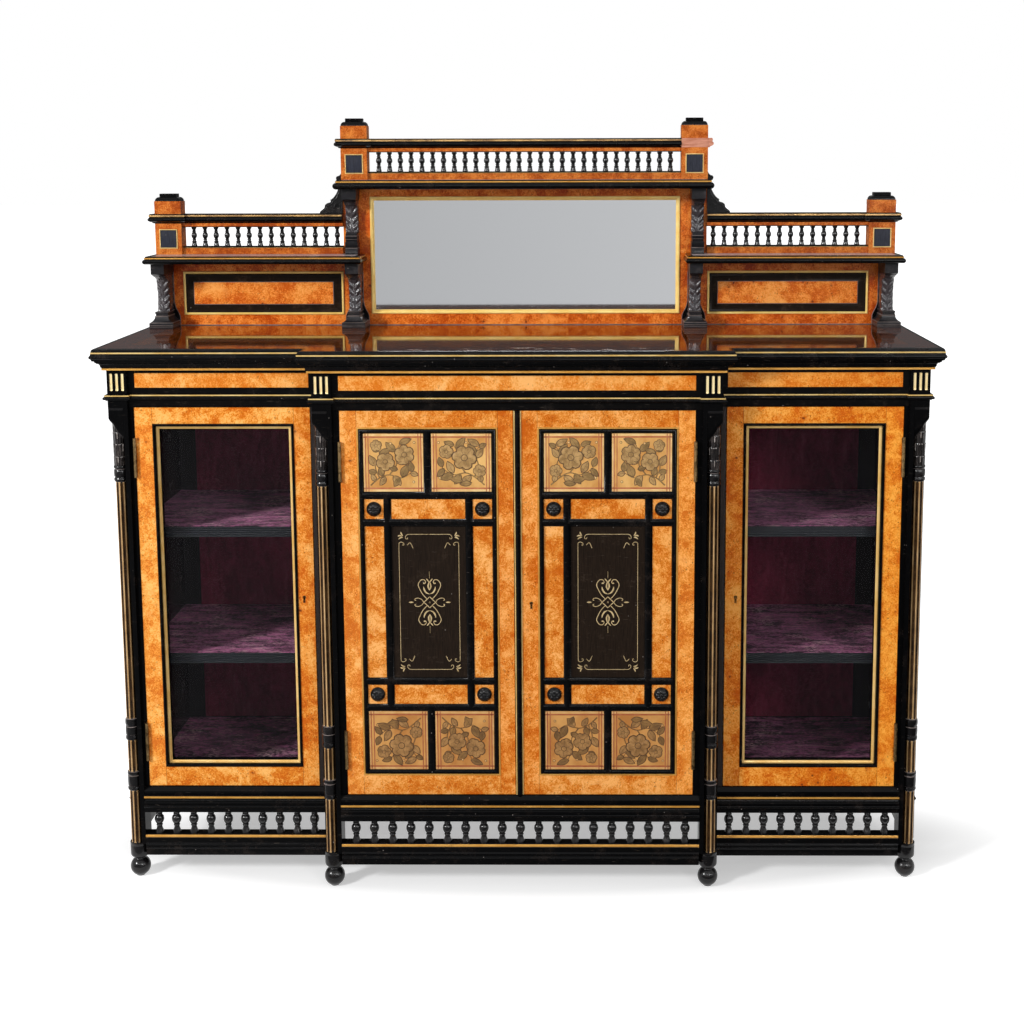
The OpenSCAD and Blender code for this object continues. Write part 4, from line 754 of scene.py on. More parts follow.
def sill(top=50.4, foot=0.1):
    """Sill rails: a polished slope, a hollow, a gilt fillet, a quirk and a bead. Behind the moulded edge the centre
    sill leaves a mortise that the bottom flush bolt drops into."""
    z = SILL_Z
    bead = ([(2, foot), (2, 8.6)], arc(2, 12.6, 3, -85, 85, 6))
    face = (*bead, [(1.1, 16.2), (0.9, 19.2), (1.6, 20), (0.6, 20.8)], arc(3.2, 27, 6.4, 245, 170, 5), [(1.2, 29.1)],
            1, [(1.9, 29.5)], [(1.9, 33.4), (2, 34), (2, 36.8), (0.6, 37.3), (-1.2, 38.2), (-1.2, 42.6), (0.8, 43.2),
                               (0.9, 43.9), (-7.6, top)])
    s = Shape()
    for (x0, x1, y), back in zip(BAYS, (15, 37.5, 37.5)):
        s.sweep([(x0, y), (x1, y)], *section(*face, [(-back, top), (-back, foot)], z=z), cap=0)
    for x0, x1, y1, high in ((-MID_POST_IN, -29, -165.5, top), (-29, -19, -165.5, 36), (-29, -19, -188, top),
                             (-19, MID_POST_IN, -165.5, top)):
        s.slab(x0, x1, -190, y1, z + foot, z + high, chamfer=0.05)
    for sx in (1, -1):
        path = [(sx * WING_X, -127.2), (sx * WING_X, 192.2)][::sx]
        s.sweep(path, *section([(0, foot)], *bead, [(0, 16.2)], z=z))
        s.sweep(path, *section([(0, 32), (1.9, 32), (1.9, 36.8), (0, 37.2)], z=z))
    s.made("sill_mouldings", [ebony_rail, gilt], "sill_rails")


def base_rail():
    """Base rails: a gilt edge on top, a flat and two beads."""
    face = section([(0, 0), (0, 12.4)], arc(0.2, 15.5, 2.4, -80, 80, 6), [(0, 18.6), (0, 20.4)],
                   arc(0.2, 23.5, 2.4, -80, 80, 6), [(0, 26.6), (-0.6, 34.8), (0.2, 36.2)],
                   1, [(1.2, 38.4), (1.4, 39), (1.4, 42.2)], [(0.8, 43.2), (-0.6, 44.4), (-21.8, 44.4), (-21.8, 0)],
                   z=BASE_Z)
    s = Shape()
    for x0, x1, y in BAYS:
        s.sweep([(x0, y), (x1, y)], *face, cap=0)
    for a, b in ((CENTRE_X - 28, CENTRE_X + 1), (-CENTRE_X - 1, 28 - CENTRE_X)):
        s.slab(a, b, WING_Y + 0.3, WING_Y + 21.8, BASE_Z + 0.2, LEDGE_Z - 0.3)
    s.made("base_mouldings", [ebony_rail, gilt], "base_rails")


def base_spindles():
    """Turned baluster: a coned foot, a ring, a vase-shaped bulb and a neck between two rings."""
    vase = [(5.4, 18.6), (7.6, 21.6), (9.1, 25.6), (9.4, 29.2), (8.6, 33.2), (6.4, 36.4), (5.0, 37.8)]
    prof = points([(0.4, 0.1), (8.6, 0.1), (8.7, 1.4), (8.2, 3.2), (6.8, 6.6), (5.6, 10.4), (4.9, 13.2), (4.9, 14.2)],
                  arc(5.2, 15.8, 1.25, -80, 80, 5), [(5.0, 17.4)], smooth_path(vase, 3),
                  arc(5.2, 39.6, 1.2, -80, 80, 5),
                  [(4.9, 41.2), (5.0, 43.0), (6.0, 44.6), (6.6, 45.2), (6.6, 46.9), (0.4, 46.9)])
    wing = 574.75 + (np.arange(10) - 4.5) * 34.88
    rows = [(x, WING_Y + 11, LEDGE_Z) for x in np.concatenate([wing, -wing])]
    rows += [(i * 36.36, CENTRE_Y + 11, LEDGE_Z) for i in range(-9, 10)]
    Shape().turned(prof, rows, 18).made("base_balusters", [ebony_turned], "base_spindles", crease=40)


def feet():
    """Turned drum, neck and ball foot."""
    prof = points([(0.5, 0), (8.6, 0)], arc(0, 19.4, 20.0, -63, 57, 18), [(10.4, 37.4), (10.6, 38.6), (12.6, 40.4)],
                  arc(12.4, 47.0, 6.0, -78, -8, 6),
                  [(18.5, 49), (18.5, 66), (18.2, 66.8), (18.5, 67.6), (18.5, 72.4), (17.9, 72.9), (0.5, 72.9)])
    places = [(s * x, y, 0) for s in (1, -1) for x, y in ((776, -146), (373.5, -186), (779, 209), (381.5, 209))]
    Shape().turned(prof, places, 40).made("ball_feet", [ebony_carved], "turned_feet", crease=50)


def column_levels():
    """Levels (radius, z, kind) of a column below its bud; kind 1 is inside a flute and 2 at its end."""
    def fluted(z0, z1):
        return [(11.3, z, k) for z, k in ((z0, 0), (z0 + 0.2, 2), (z0 + 2.2, 1), (z1 - 2.2, 1), (z1 - 0.2, 2), (z1, 0))]

    def rings(*levels):
        return [(r, z, 0) for r, z in levels]

    return np.array(
        fluted(73.1, 184)
        + rings((13.0, 185), (13.9, 187.4), (13.7, 190), (12.3, 191.8), (12.3, 193), (13.3, 193.8), (13.7, 204),
                (13.3, 214.4), (12.3, 215.2), (12.3, 216.2), (13.7, 218), (13.9, 220.6), (13.0, 223.2))
        + fluted(224, 290)
        + rings((13.2, 291), (13.9, 294), (13.6, 297.4), (12.2, 299.6), (12.2, 301), (13.4, 301.8), (13.8, 309),
                (13.4, 317.2), (12.2, 318.2), (12.3, 320), (13.6, 322), (13.9, 326), (13.8, 330), (12.8, 334))
        + fluted(335, 818)
        + rings((13.0, 819), (13.9, 821.6), (13.5, 824.6), (12.2, 826.2), (12.2, 827.8), (13.5, 829), (13.9, 835),
                (13.1, 841.6), (12.0, 843), (12.2, 844), (13.5, 845.2), (13.9, 847.6), (13.0, 849.8)))


def column(seg=64):
    """Engaged column from z = 73 to 965.6. A ring's radius is that of its level; in a flute it falls by up to 1.6 mm
    between fillets; on the bud it grows along four tiers of pointed leaves up to their curled tips, with veins across
    each leaf, and at the top it swells out to the square post."""
    low_r, low_z, kinds = column_levels().T
    th = np.linspace(0, 2 * np.pi, seg, endpoint=False)
    phase = np.arange(seg) % 8
    hollow = np.array([0, 0, 0, 0.3, 1.3, 1.6, 1.3, 0.3])[phase]
    radius = low_r[:, None] - hollow * (kinds == 1)[:, None]
    z_bud = np.linspace(850.2, 961, 111)
    zz = z_bud[:, None]
    relief = np.zeros((len(z_bud), seg))
    tips, pits = np.zeros((2, len(z_bud), seg), bool)
    for k, (base, tip) in enumerate(((846.0, 877.0), (866.0, 903.5), (891.0, 928.0), (914.0, 950.0))):
        a = (np.mod(th + (k % 2) * np.pi / 4 + np.pi / 4, np.pi / 2) / (np.pi / 4) - 1)[None, :]
        h = (zz - base) / (tip - base)
        inside = 1 - 0.30 * np.abs(a) ** 1.5 - 0.05 * np.abs(np.sin(9 * h)) - h
        on = (inside > 0) & (h > 0.05)
        veins = np.cos(2 * np.pi * a * (2.1 - 0.7 * h))
        leaf = 0.7 + 1.25 * np.clip(h, 0, 1) ** 1.4 + 0.55 * np.exp(-(inside / 0.10) ** 2) - 0.3 * a ** 2
        relief = np.where(on, leaf + 0.32 * veins * np.clip(inside * 4, 0, 1), relief)
        tips = np.where(on, (inside < 0.13) & (np.abs(a) < 0.8) | (np.abs(a) < 0.09) & (h > 0.35), tips)
        pits = np.where(on, veins < -0.75, pits) | (~on & (inside > -0.09) & (inside <= 0))
    cosx, siny = np.cos(th), np.sin(th)
    to_square = 15.3 / np.maximum(np.abs(cosx), np.abs(siny))
    s = np.clip((zz - 916 - 20 * cosx) / 16, 0, 1)
    s = s * s * (3 - 2 * s)
    r_bud = (1 - s) * (11.7 + relief) + s * to_square
    z = np.concatenate([low_z, z_bud, [965.6]])
    radius = np.concatenate([radius, r_bud, to_square[None, :]])
    x, y = np.clip(radius * cosx, -13.2, 15.3), np.clip(radius * siny, -15.3, 13.2)

    fin = np.zeros((len(z) - 1, seg), int)
    below, above = kinds[:-1], kinds[1:]
    fluted = (below > 0) & (above > 0)
    side = np.array([2, 2, 1, 3, 3, 3, 3, 1])[phase][None, :]
    fin[:len(below)][fluted] = side
    fin[:len(below)][fluted & ((below == 2) ^ (above == 2))] = np.where(side < 3, 2, 0)
    # painted highlight: the thin bands between ring steps
    fin[:len(below)][(np.diff(low_z) < 1.05) & (below == 0) & (above == 0)] = 7
    # painted highlight on the leaves' curled tips and upper midribs; painted shade, in plain black, in the veins'
    # grooves and just above the tips
    fin[len(kinds):-1] = np.where(s[:-1] < 0.35, np.where(tips[:-1], 5, np.where(pits[:-1], 0, 4)), 6)
    return Shape().loft(np.stack([x, y, np.broadcast_to(z[:, None], x.shape)], -1), fin, cap=0)


def columns():
    one, s = column(), Shape()
    for x, y in ((WING_X, WING_Y), (CENTRE_X, CENTRE_Y)):
        for mirror in (False, True):
            s.add(one, (x - 15.5, y + 15.5, 0), mirror)
    s.made("engaged_columns", [ebony_carved, gilt_flute, gilt_fillet, flute_hollow, bud_carved, tip_highlight, ebony,
                               edge_highlight], "columns", crease=40)


def velvets(inner=393.2, outer=766.3, back=213.4):
    """Each lining is a sheet with soft swells where it has been crushed: height = thickness plus smooth noise."""
    def pile(name, u, v, place, hides, finish):
        uu, vv = np.meshgrid(np.linspace(0, 1, 60), np.linspace(0, 1, 44), indexing="ij")
        swell = sum(w * np.sin(f * uu + p) * np.sin(g * vv + q) for w, f, p, g, q in
                    ((0.16, 9, 0.5 + len(name), 7, 1.1), (0.1, 23, 2.0, 17, 0.3 + len(name)), (0.05, 61, 0.7, 53, 2.2)))
        edge = np.minimum(np.minimum(uu, 1 - uu) * (u[1] - u[0]), np.minimum(vv, 1 - vv) * (v[1] - v[0]))
        top = 1.35 + swell * np.clip(edge / 12, 0, 1) + 0.3 * np.clip(edge / 4, 0, 1) - 0.3
        x, w = u[0] + uu * (u[1] - u[0]), v[0] + vv * (v[1] - v[0])
        verts = [place(x, w, h).reshape(-1, 3) for h in (top, np.full_like(top, 0.05))]
        idx = np.arange(uu.size).reshape(uu.shape)
        grid = np.stack([idx[:-1, :-1], idx[1:, :-1], idx[1:, 1:], idx[:-1, 1:]], -1).reshape(-1, 4)
        rim = np.concatenate([idx[:-1, 0], idx[-1, :-1], idx[:0:-1, -1], idx[0, :0:-1]])
        after = np.roll(rim, -1)
        skirt = np.stack([rim, rim + uu.size, after + uu.size, after], -1)
        s = Shape().put(np.concatenate(verts), [(grid, 0), (grid[:, ::-1] + uu.size, 0), (skirt, 0)])
        s.made(name, [finish], hides, slot="velvet", crease=60)

    for side, tag in ((1, "right"), (-1, "left")):
        for label, z, front, flat, rest in (
                ("upper_shelf", 715.0, -105.2, (0.3731, 0.3186), "shelves_and_bearers"),
                ("lower_shelf", 453.0, -105.2, (0.3731, 0.3186), "shelves_and_bearers"),
                ("floor", FLOOR_TOP, -126.4, (0.3731, 0.3398), "floor_and_top_boards")):
            hides = "velvet_linings" if (side, label) == (1, "upper_shelf") else None
            pile(f"velvet_{tag}_{label}", (inner, outer), (front, back),
                 lambda x, w, h: np.stack([side * x, w, z + h], -1),
                 hides, cloth)
        pile(f"velvet_{tag}_back", (397, 730.6), (192.4, 965.4), lambda x, w, h: np.stack([side * x, 215.9 - h, w], -1),
             None, cloth_back)


for build in (worktop, cornice, frieze_moulding, frieze_veneers, frieze_flutes, sill, base_rail, base_spindles, feet,
              columns, velvets):
    build()


# ---------------------------------------------------------------- outer doors
def keyhole_rim(s, x, y, finish):
    """A thin worn-metal edge round a keyhole: an arc of 3.2 mm round the head, then down both sides of the slot."""
    slot = [(x - 1.9, 573.2), (x - 1.7, 572.7), (x + 1.7, 572.7), (x + 1.9, 573.2)]
    s.ribbon(points(arc(x, 584, 3.2, -58, 238, 18), slot, arc(x, 584, 3.2, -58, -40, 3)), 0.7, y, 0.25, finish)


def wing_door_trim(sign, door):
    """Glazing bead with a rounded lip, the loose bead behind the pane, and the gilt slip that falls to the glass."""
    light = (437.5, 713.4, 232.7, 932.8, WING_FACE)
    lip = [(0, -12.9), (0, 0), (0.6, 2), (2.2, 3), (3.8, 2.6), (5.0, 1.2), (5.5, -0.5), (5.5, -12.9)]
    bead = Shape().frame_loop(*light, lip)
    bead.frame_loop(*light, [(0, -16.1), (11.5, -16.1), (11.5, -22), (10, -23), (0, -23)])
    fall = [(5.6, -12.9), (5.6, -5.2), (6.6, -4.6), (8.4, -5.2), (10.2, -6.6), (11.4, -7.8), (11.7, -8.4),
            (11.8, -12.9)]
    slip = Shape().frame_loop(*light, fall, [0, 0, 0, 0, 0, 1, 1, 1])
    rim = Shape()
    keyhole_rim(rim, 426, WING_FACE, 0)
    for shape, label, finish, slot, hides in ((bead, "glazing_bead", ebony_rail, EBONY, "bead"),
                                              (slip, "gilt_slip", gilt_slip, GILT, "slip"),
                                              (rim, "keyhole_rim", brass_dark, "brass", None)):
        Shape().add(shape, mirror=sign < 0).made(f"{door}_{label}", [finish, ebony],
                                                 hides and f"{door}_{hides}", door, slot)


# ---------------------------------------------------------------- centre doors
# Cells of the grid in a centre door. A row is (low, high, half bar below, half bar above) and a column (left, right,
# half bar on the left, half bar on the right); a half bar's number is its width.
PANEL = (38.0, 309.3, 232.7, 932.8)
TILE_ROWS = ((806.3, 920.8, 7.2, 4.3), (244.7, 365.2, 4.3, 7.2))
TILE_COLS = ((50.0, 166.45, 4.3, 7.2), (180.85, 297.3, 7.2, 4.3))
MID_ROWS = ((752.4, 791.9, 7.2, 7.2), (433.5, 738.0, 7.2, 7.2), (379.6, 419.1, 7.2, 7.2))
MID_COLS = ((50.0, 87.5, 4.3, 7.2), (101.9, 245.4, 7.2, 7.2), (259.8, 297.3, 7.2, 4.3))


def centre_mouldings():
    """A ring with a gilt edge and a rounded black back, and half a bar round every cell, mitred at its corners, so
    that the bars meet in points as the real ones do."""
    ring = [(0, 0), (0, 2.6), (0.5, 3.2), (3.0, 3.3), (3.4, 2.8), (3.7, 2.8), (4.5, 4.6), (5.9, 5.8), (7.7, 6.0),
            (7.7, 0)]
    half_bar = [(0, 0), (0, 2.2), (0.12, 2.6), (0.3, 4.0), (0.5, 5.2), (0.75, 5.9), (1, 6.0), (1, 0)]
    s = Shape().frame_loop(*PANEL, PANEL_Y, ring, [1, 1, 1, 1, 0, 0, 0, 0, 0, 0])
    for rows, cols in ((TILE_ROWS, TILE_COLS), (MID_ROWS, MID_COLS)):
        for low, high, d0, d1 in rows:
            for a, b, e0, e1 in cols:
                s.frame_loop(a, b, low, high, PANEL_Y, half_bar, 0, outer=(e0, e1, d0, d1))
    return s


def centre_fields():
    """Veneered fields in the grid, 1 mm proud of the panel."""
    s = Shape()
    for r, (low, high, _, _) in enumerate(MID_ROWS):
        for c, (a, b, _, _) in enumerate(MID_COLS):
            if (r, c) != (1, 1):
                s.slab(a + 0.1, b - 0.1, PANEL_Y - 1, PANEL_Y, low + 0.1, high - 0.1, 0, 0.2)
    return s


def inlaid_lines():
    """Pale stringing let into the black panel: a frame with curled corners, and a knot between two tulips, four
    hearts and four spears. One quarter is drawn as (x, z) from the panel's centre and repeated by reflection."""
    s, centre = Shape(), np.array([173.65, 585.75])
    quarters = [np.array([sx, sz]) for sx in (1, -1) for sz in (1, -1)]

    def strip(path, width):
        for q in quarters:
            s.ribbon(centre + q * path, width, PANEL_Y, 0.15, 0, 0.1)

    def line(path, width=1.3, steps=6):
        p = smooth_path(path, steps) if len(path) > 2 else points(*path)
        w = np.full(len(p), width * 0.72)
        w[[0, -1]] = width * 0.4
        strip(p, w)

    def leaf(path, fat):
        p = smooth_path(path, 6)
        strip(p, 0.4 + 0.8 * fat * np.sin(np.pi * np.linspace(0, 1, len(p))) ** 0.8)

    def dot(x, z, r):
        for q in quarters:
            c = centre + q * (x, z)
            s.dome(arc(0, 0, r, 0, 324, 10) + c, c, PANEL_Y, (-0.2, 0.2, 0.3), (1, 1, 0.5))

    line([(0, 136), (20, 136), (38, 136), (42, 135), (45, 131.5), (44.5, 127.5), (41.5, 127), (40.6, 130)])
    line([(58, 0), (58, 60), (58, 112), (57, 119), (53, 120.5), (48.5, 118), (48.8, 114.4), (51.5, 115)])
    leaf([(50, 133), (53, 137), (54, 141)], 2.6)
    leaf([(51, 132), (56, 133.5), (60, 132)], 2.8)
    leaf([(50, 130), (55, 129), (58.5, 126)], 2.2)
    line([(42, 114.6), (36, 119), (30.5, 108)], 1.4)
    line([(0, 48), (0, 62)], 2.6)
    leaf([(0, 24), (2.6, 32), (0.6, 42)], 3.0)
    leaf([(0, 40), (3.2, 44), (6.2, 47.6)], 2.2)
    leaf([(0, 16.5), (6.5, 19.5), (10.5, 26), (11.5, 31.5)], 3.2)
    line([(0, 11.3), (5.6, 5.4), (11.5, 0)], 2.0, 4)
    dot(0, 0, 1.7)
    heart = [(5.4, 6.9), (13, 15.5), (18.8, 26), (21.8, 34), (20.2, 40), (15.6, 45), (10, 45), (7.4, 40.5), (9.4, 37)]
    line(heart, 1.9)
    dot(10.8, 38.2, 1.5)
    line([(11.5, 0), (15.4, 5.4), (22, 8.4), (27.5, 7.6), (29, 4.8), (26.6, 3.6)], 1.7)
    leaf([(31.5, 0), (36, 0.4), (41, 0)], 2.2)
    return s


def leaf_at(s, x, z, angle, length, width, y, shade, lift):
    """A pointed leaf over a darker one a little larger, with a vein; half-width = w sin(pi t^0.85)^1.05 along it."""
    t = np.linspace(0, 1, 9)
    half = width / 2 * np.sin(np.pi * t ** 0.85) ** 1.05
    a = math.radians(angle)
    turn = np.array([[math.cos(a), math.sin(a)], [-math.sin(a), math.cos(a)]])

    def outline(grow):
        along = (t - 0.5) * (length + grow) + 0.5 * length
        up, down = np.stack([along, half + grow / 2], 1), np.stack([along, -half - grow / 2], 1)
        return points(up, down[::-1][1:-1]) @ turn + [x, z]

    middle = np.array([0.5 * length, 0]) @ turn + [x, z]
    s.dome(outline(1.9), middle, y, (-0.2, 0.12 + lift, 0.16 + lift), (1, 1, 0.9), EDGE)
    s.dome(outline(-0.3), middle, y, (0, 0.26 + lift, 0.34 + lift), (1, 0.97, 0.7), shade)
    vein = np.stack([np.linspace(0.08, 0.86, 4) * length, np.zeros(4)], 1) @ turn + [x, z]
    s.ribbon(vein, (0.5, 0.5, 0.4, 0.2), y, 0.42 + lift, EDGE)


def blossom_at(s, x, z, r, petals, turn, y):
    """A flower of rounded petals set round a centre; each petal is an egg shape over a darker edge."""
    a = np.radians(np.linspace(0, 324, 10))
    for k in range(petals):
        b = math.radians(turn + 360 * k / petals)
        c = np.array([x + 0.58 * r * math.cos(b), z + 0.58 * r * math.sin(b)])
        out = np.array([math.cos(b), math.sin(b)])
        side = np.array([-out[1], out[0]])
        wide = 2.35 * r / petals
        egg = (0.46 * r * np.cos(a))[:, None] * out + (wide * np.sin(a) * (1 + 0.3 * np.cos(a)))[:, None] * side
        level = 0.05 * (k % 3)
        s.dome(c + egg * 1.14, c, y, (-0.2, 0.24 + level, 0.3 + level), (1, 1, 0.9), EDGE)
        s.dome(c + egg * 0.98, c, y, (0, 0.42 + level, 0.55 + level), (1, 0.95, 0.6), PETAL)
        s.ribbon(points(c - out * 0.3 * r, c, c + out * 0.26 * r), (0.5, 0.5, 0.2), y, 0.62 + level, EDGE)
    ring = arc(0, 0, 0.26 * r, 0, 330, 12)
    s.dome(ring * 1.15 + [x, z], (x, z), y, (0.2, 0.66, 0.7), (1, 1, 0.9), EDGE)
    s.dome(ring + [x, z], (x, z), y, (0.2, 0.8, 1.0), (1, 0.9, 0.45), PETAL)


CREAM, RED, GREEN, PETAL, EDGE = range(1, 6)
# Two sprigs in shares of a tile: stems, blooms (x, z, size, petals, turn), leaves (x, z, turn, length, width), berries.
SPRIGS = (
    ([[(0.04, 0.06), (0.24, 0.22), (0.42, 0.30), (0.64, 0.26), (0.86, 0.38), (0.95, 0.56)],
      [(0.24, 0.22), (0.16, 0.44), (0.22, 0.66), (0.12, 0.86)],
      [(0.42, 0.30), (0.56, 0.5), (0.58, 0.72), (0.70, 0.92)]],
     [(0.44, 0.60, 0.235, 6, 10), (0.80, 0.72, 0.135, 5, 30), (0.14, 0.34, 0.12, 5, 0)],
     [(0.30, 0.24, -38, 0.24, 0.10), (0.52, 0.28, -62, 0.20, 0.095), (0.66, 0.27, -20, 0.24, 0.105),
      (0.66, 0.30, 62, 0.22, 0.10), (0.84, 0.38, -48, 0.18, 0.08), (0.88, 0.42, 70, 0.17, 0.085),
      (0.20, 0.60, 125, 0.19, 0.09), (0.20, 0.66, 52, 0.23, 0.095), (0.14, 0.80, 150, 0.13, 0.07),
      (0.14, 0.84, 28, 0.22, 0.09), (0.60, 0.78, 128, 0.24, 0.10), (0.64, 0.84, 20, 0.18, 0.08),
      (0.10, 0.12, 74, 0.14, 0.075), (0.48, 0.14, 12, 0.22, 0.09), (0.30, 0.10, -6, 0.20, 0.075)],
     [(0.93, 0.20), (0.40, 0.90), (0.95, 0.90)]),
    ([[(0.96, 0.05), (0.78, 0.20), (0.58, 0.26), (0.34, 0.20), (0.12, 0.32)],
      [(0.78, 0.20), (0.86, 0.42), (0.76, 0.62), (0.84, 0.90)],
      [(0.58, 0.26), (0.44, 0.46), (0.46, 0.66), (0.34, 0.92)]],
     [(0.28, 0.66, 0.19, 6, 25), (0.66, 0.52, 0.175, 5, 54), (0.84, 0.84, 0.11, 5, 12)],
     [(0.50, 0.24, -128, 0.20, 0.10), (0.38, 0.21, -60, 0.18, 0.09), (0.34, 0.22, 118, 0.24, 0.11),
      (0.16, 0.30, 196, 0.13, 0.07), (0.14, 0.32, 84, 0.17, 0.09), (0.84, 0.30, 12, 0.14, 0.08),
      (0.86, 0.44, 60, 0.20, 0.10), (0.78, 0.64, 148, 0.22, 0.10), (0.80, 0.72, 40, 0.14, 0.075),
      (0.42, 0.50, 165, 0.20, 0.09), (0.46, 0.72, 44, 0.22, 0.10), (0.38, 0.88, 158, 0.22, 0.085),
      (0.66, 0.22, -58, 0.17, 0.08), (0.72, 0.24, 74, 0.16, 0.085), (0.42, 0.36, 20, 0.15, 0.075),
      (0.86, 0.14, 60, 0.13, 0.07)],
     [(0.10, 0.12), (0.55, 0.88), (0.08, 0.90)]))


def painted_tiles():
    """Four painted squares a door: cream bands, red lines that cross at the corners, and flowering sprigs."""
    s, y = Shape(), PANEL_Y - 2.2
    for row, (low, high, _, _) in enumerate(TILE_ROWS):
        for col, (a, b, _, _) in enumerate(TILE_COLS):
            a, b, lo, hi = a + 0.3, b - 0.3, low + 0.3, high - 0.3

            def level(z0, high, proud, finish):
                s.slab(a + 0.4, b - 0.4, y - proud, y + 0.5, z0, z0 + high, finish, 0.05)

            def upright(x0, wide, proud, finish):
                s.slab(x0, x0 + wide, y - proud, y + 0.5, lo + 0.4, hi - 0.4, finish, 0.05)

            s.slab(a, b, y, PANEL_Y, lo, hi, 0, 0.4)
            for z0 in (lo + 0.4, hi - 4.6):
                level(z0, 4.2, 0.08, CREAM)
            for x0 in (a + 0.4, b - 3.4):
                upright(x0, 3.0, 0.1, CREAM)
            for z0 in (lo + 5.4, hi - 8.2):
                level(z0, 2.8, 0.16, RED)
            for inset, wide, proud in ((3.4, 2.0, 0.16), (9.0, 1.8, 0.18)):
                for x0 in (a + inset, b - inset - wide):
                    upright(x0, wide, proud, RED)
            stems, blooms, leaves, berries = SPRIGS[(row + col) % 2]
            w, h, flip = b - a - 19.2, hi - lo - 14.8, row == 1

            def at(u, v):
                return a + 9.6 + u * w, lo + 7.4 + ((1 - v) if flip else v) * h

            for stem in stems:
                p = smooth_path([at(*q) for q in stem], 5)
                s.ribbon(p, np.linspace(2.6, 1.2, len(p)), y, 0.14, EDGE)
                s.ribbon(p, np.linspace(1.6, 0.5, len(p)), y, 0.24, GREEN)
            for n, (u, v, angle, length, width) in enumerate(leaves):
                leaf_at(s, *at(u, v), -angle if flip else angle, length * w * 1.2, width * w * 1.4, y,
                        GREEN if n % 3 else PETAL, 0.07 * (n % 5))
            for u, v, r, petals, turn in blooms:
                blossom_at(s, *at(u, v), r * w, petals, turn, y - 0.25)
            for u, v in berries:
                c, ring = np.array(at(u, v)), arc(0, 0, 1.9, 0, 324, 10)
                s.dome(ring * 1.35 + c, c, y, (-0.1, 0.2, 0.24), (1, 1, 0.9), EDGE)
                s.dome(ring + c, c, y, (0.1, 0.5, 0.9), (1, 0.9, 0.4), CREAM)
    return s


def rosettes():
    """Turned and carved bosses: a dome whose height falls between eight petals, round a small button."""
    s = Shape()
    th = np.linspace(0, 2 * np.pi, 48, endpoint=False)
    radius, height, carved = np.array([
        (14.5, 0, 0), (14.5, 2.4, 0), (14.0, 3.6, 0.1), (12.9, 4.6, 0.4), (12.4, 5.4, 0.6), (11.4, 7.2, 1.0),
        (9.8, 8.8, 1.2), (7.8, 9.9, 1.1), (5.8, 10.2, 0.7), (4.4, 9.4, 0.2), (3.8, 9.2, 0), (3.2, 10.2, 0),
        (2.0, 10.9, 0), (0.5, 11.0, 0)]).T[..., None]
    dip = 1 - np.abs(np.cos(4 * th))
    r = radius - 0.5 * carved * dip
    h = height - 1.1 * carved * dip ** 1.5
    for x in (68.75, 278.55):
        for z in (772.15, 399.35):
            s.loft(np.stack([x + r * np.cos(th), PANEL_Y - h, z + r * np.sin(th)], -1), 0)
    return s


def centre_door_trim(sign, door):
    for build, label, finishes, slot, hides in (
            (centre_mouldings, "bars", [ebony_rail, gilt], EBONY, "mouldings"),
            (centre_fields, "fields", [field_burl], BURL, None),
            (inlaid_lines, "inlay", [inlay], "painted_tile", None),
            (painted_tiles, "painted_tiles", TILE_FINISHES, "painted_tile", "tiles"),
            (rosettes, "rosettes", [ebony_carved], EBONY, "bosses")):
        Shape().add(build(), mirror=sign < 0).made(f"{door}_{label}", finishes, hides and f"{door}_{hides}", door,
                                                   slot, crease=40)


def meeting_bead():
    """Upright bead on the right-hand leaf: gilt edges and a half-round between them."""
    prof, fin = section(1, [(-7.3, 0), (-7.3, -1.6), (-6.9, -2.0), (-5.3, -2.0)], [(-4.9, -1.2)],
                        arc(0, -1.5, 4.8, 180, 360, 9), 1, [(4.9, -1.2), (5.3, -2.0), (6.9, -2.0), (7.3, -1.6)],
                        [(7.3, 0)], z=MID_FACE)
    s = Shape().prism(prof, DOOR_Z, DOOR_TOP, fin, cap=0)
    s.made("meeting_bead", [ebony_rail, gilt_pale], "mid_right_door_meeting_bead", "mid_right_door")
    rim = Shape()
    keyhole_rim(rim, 24.6, MID_FACE, 0)
    rim.made("centre_keyhole_rim", [brass_dark], None, "mid_right_door", "brass")


for sign, door in ((1, "right_door"), (-1, "left_door")):
    wing_door_trim(sign, door)
for sign, door in ((1, "mid_right_door"), (-1, "mid_left_door")):
    centre_door_trim(sign, door)
meeting_bead()


# ---------------------------------------------------------------- superstructure
RAIL_H, POST2_H = 67, 114


def gallery_shelves():
    """Two wing shelves and the top shelf: a plain board inside a rounded edge with a gilt line over it."""
    s = Shape()

    def shelf(path, outline, z, t):
        r = (t - 5.6) / 2
        edge = section([(-14, 0), (-4.4, 0)], arc(-4.4, r, r, -80, 78, 8), [(-3.4, t - 5.4)], 1, [(-2.6, t - 5.2)],
                       [(-2.4, t - 2.6), (-3.2, t - 2.2), (-4.0, t - 1.9), (-4.2, t), (-14, t)], z=z)
        s.sweep(path, *edge, cap=0)
        s.prism(outline, z, z + t, 2)

    path = [(-802, 230), (-802, 118), (-343, 118), (-343, 210)]
    outline = [(-788, 230), (-788, 132), (-357, 132), (-357, 210), (-392, 210), (-392, 230)]
    shelf(mirrored(path), mirrored(outline), SHELF1, SHELF1_TOP - SHELF1)
    shelf(path, outline, SHELF1, SHELF1_TOP - SHELF1)
    x = BOARD_X + 7
    shelf([(-x, 230), (-x, 140), (x, 140), (x, 230)], [(14 - x, 230), (14 - x, 154), (x - 14, 154), (x - 14, 230)],
          SHELF2, SHELF2_TOP - SHELF2)
    s.made("shelf_boards", [ebony_rail, gilt, shelf_polish], "gallery_shelves")


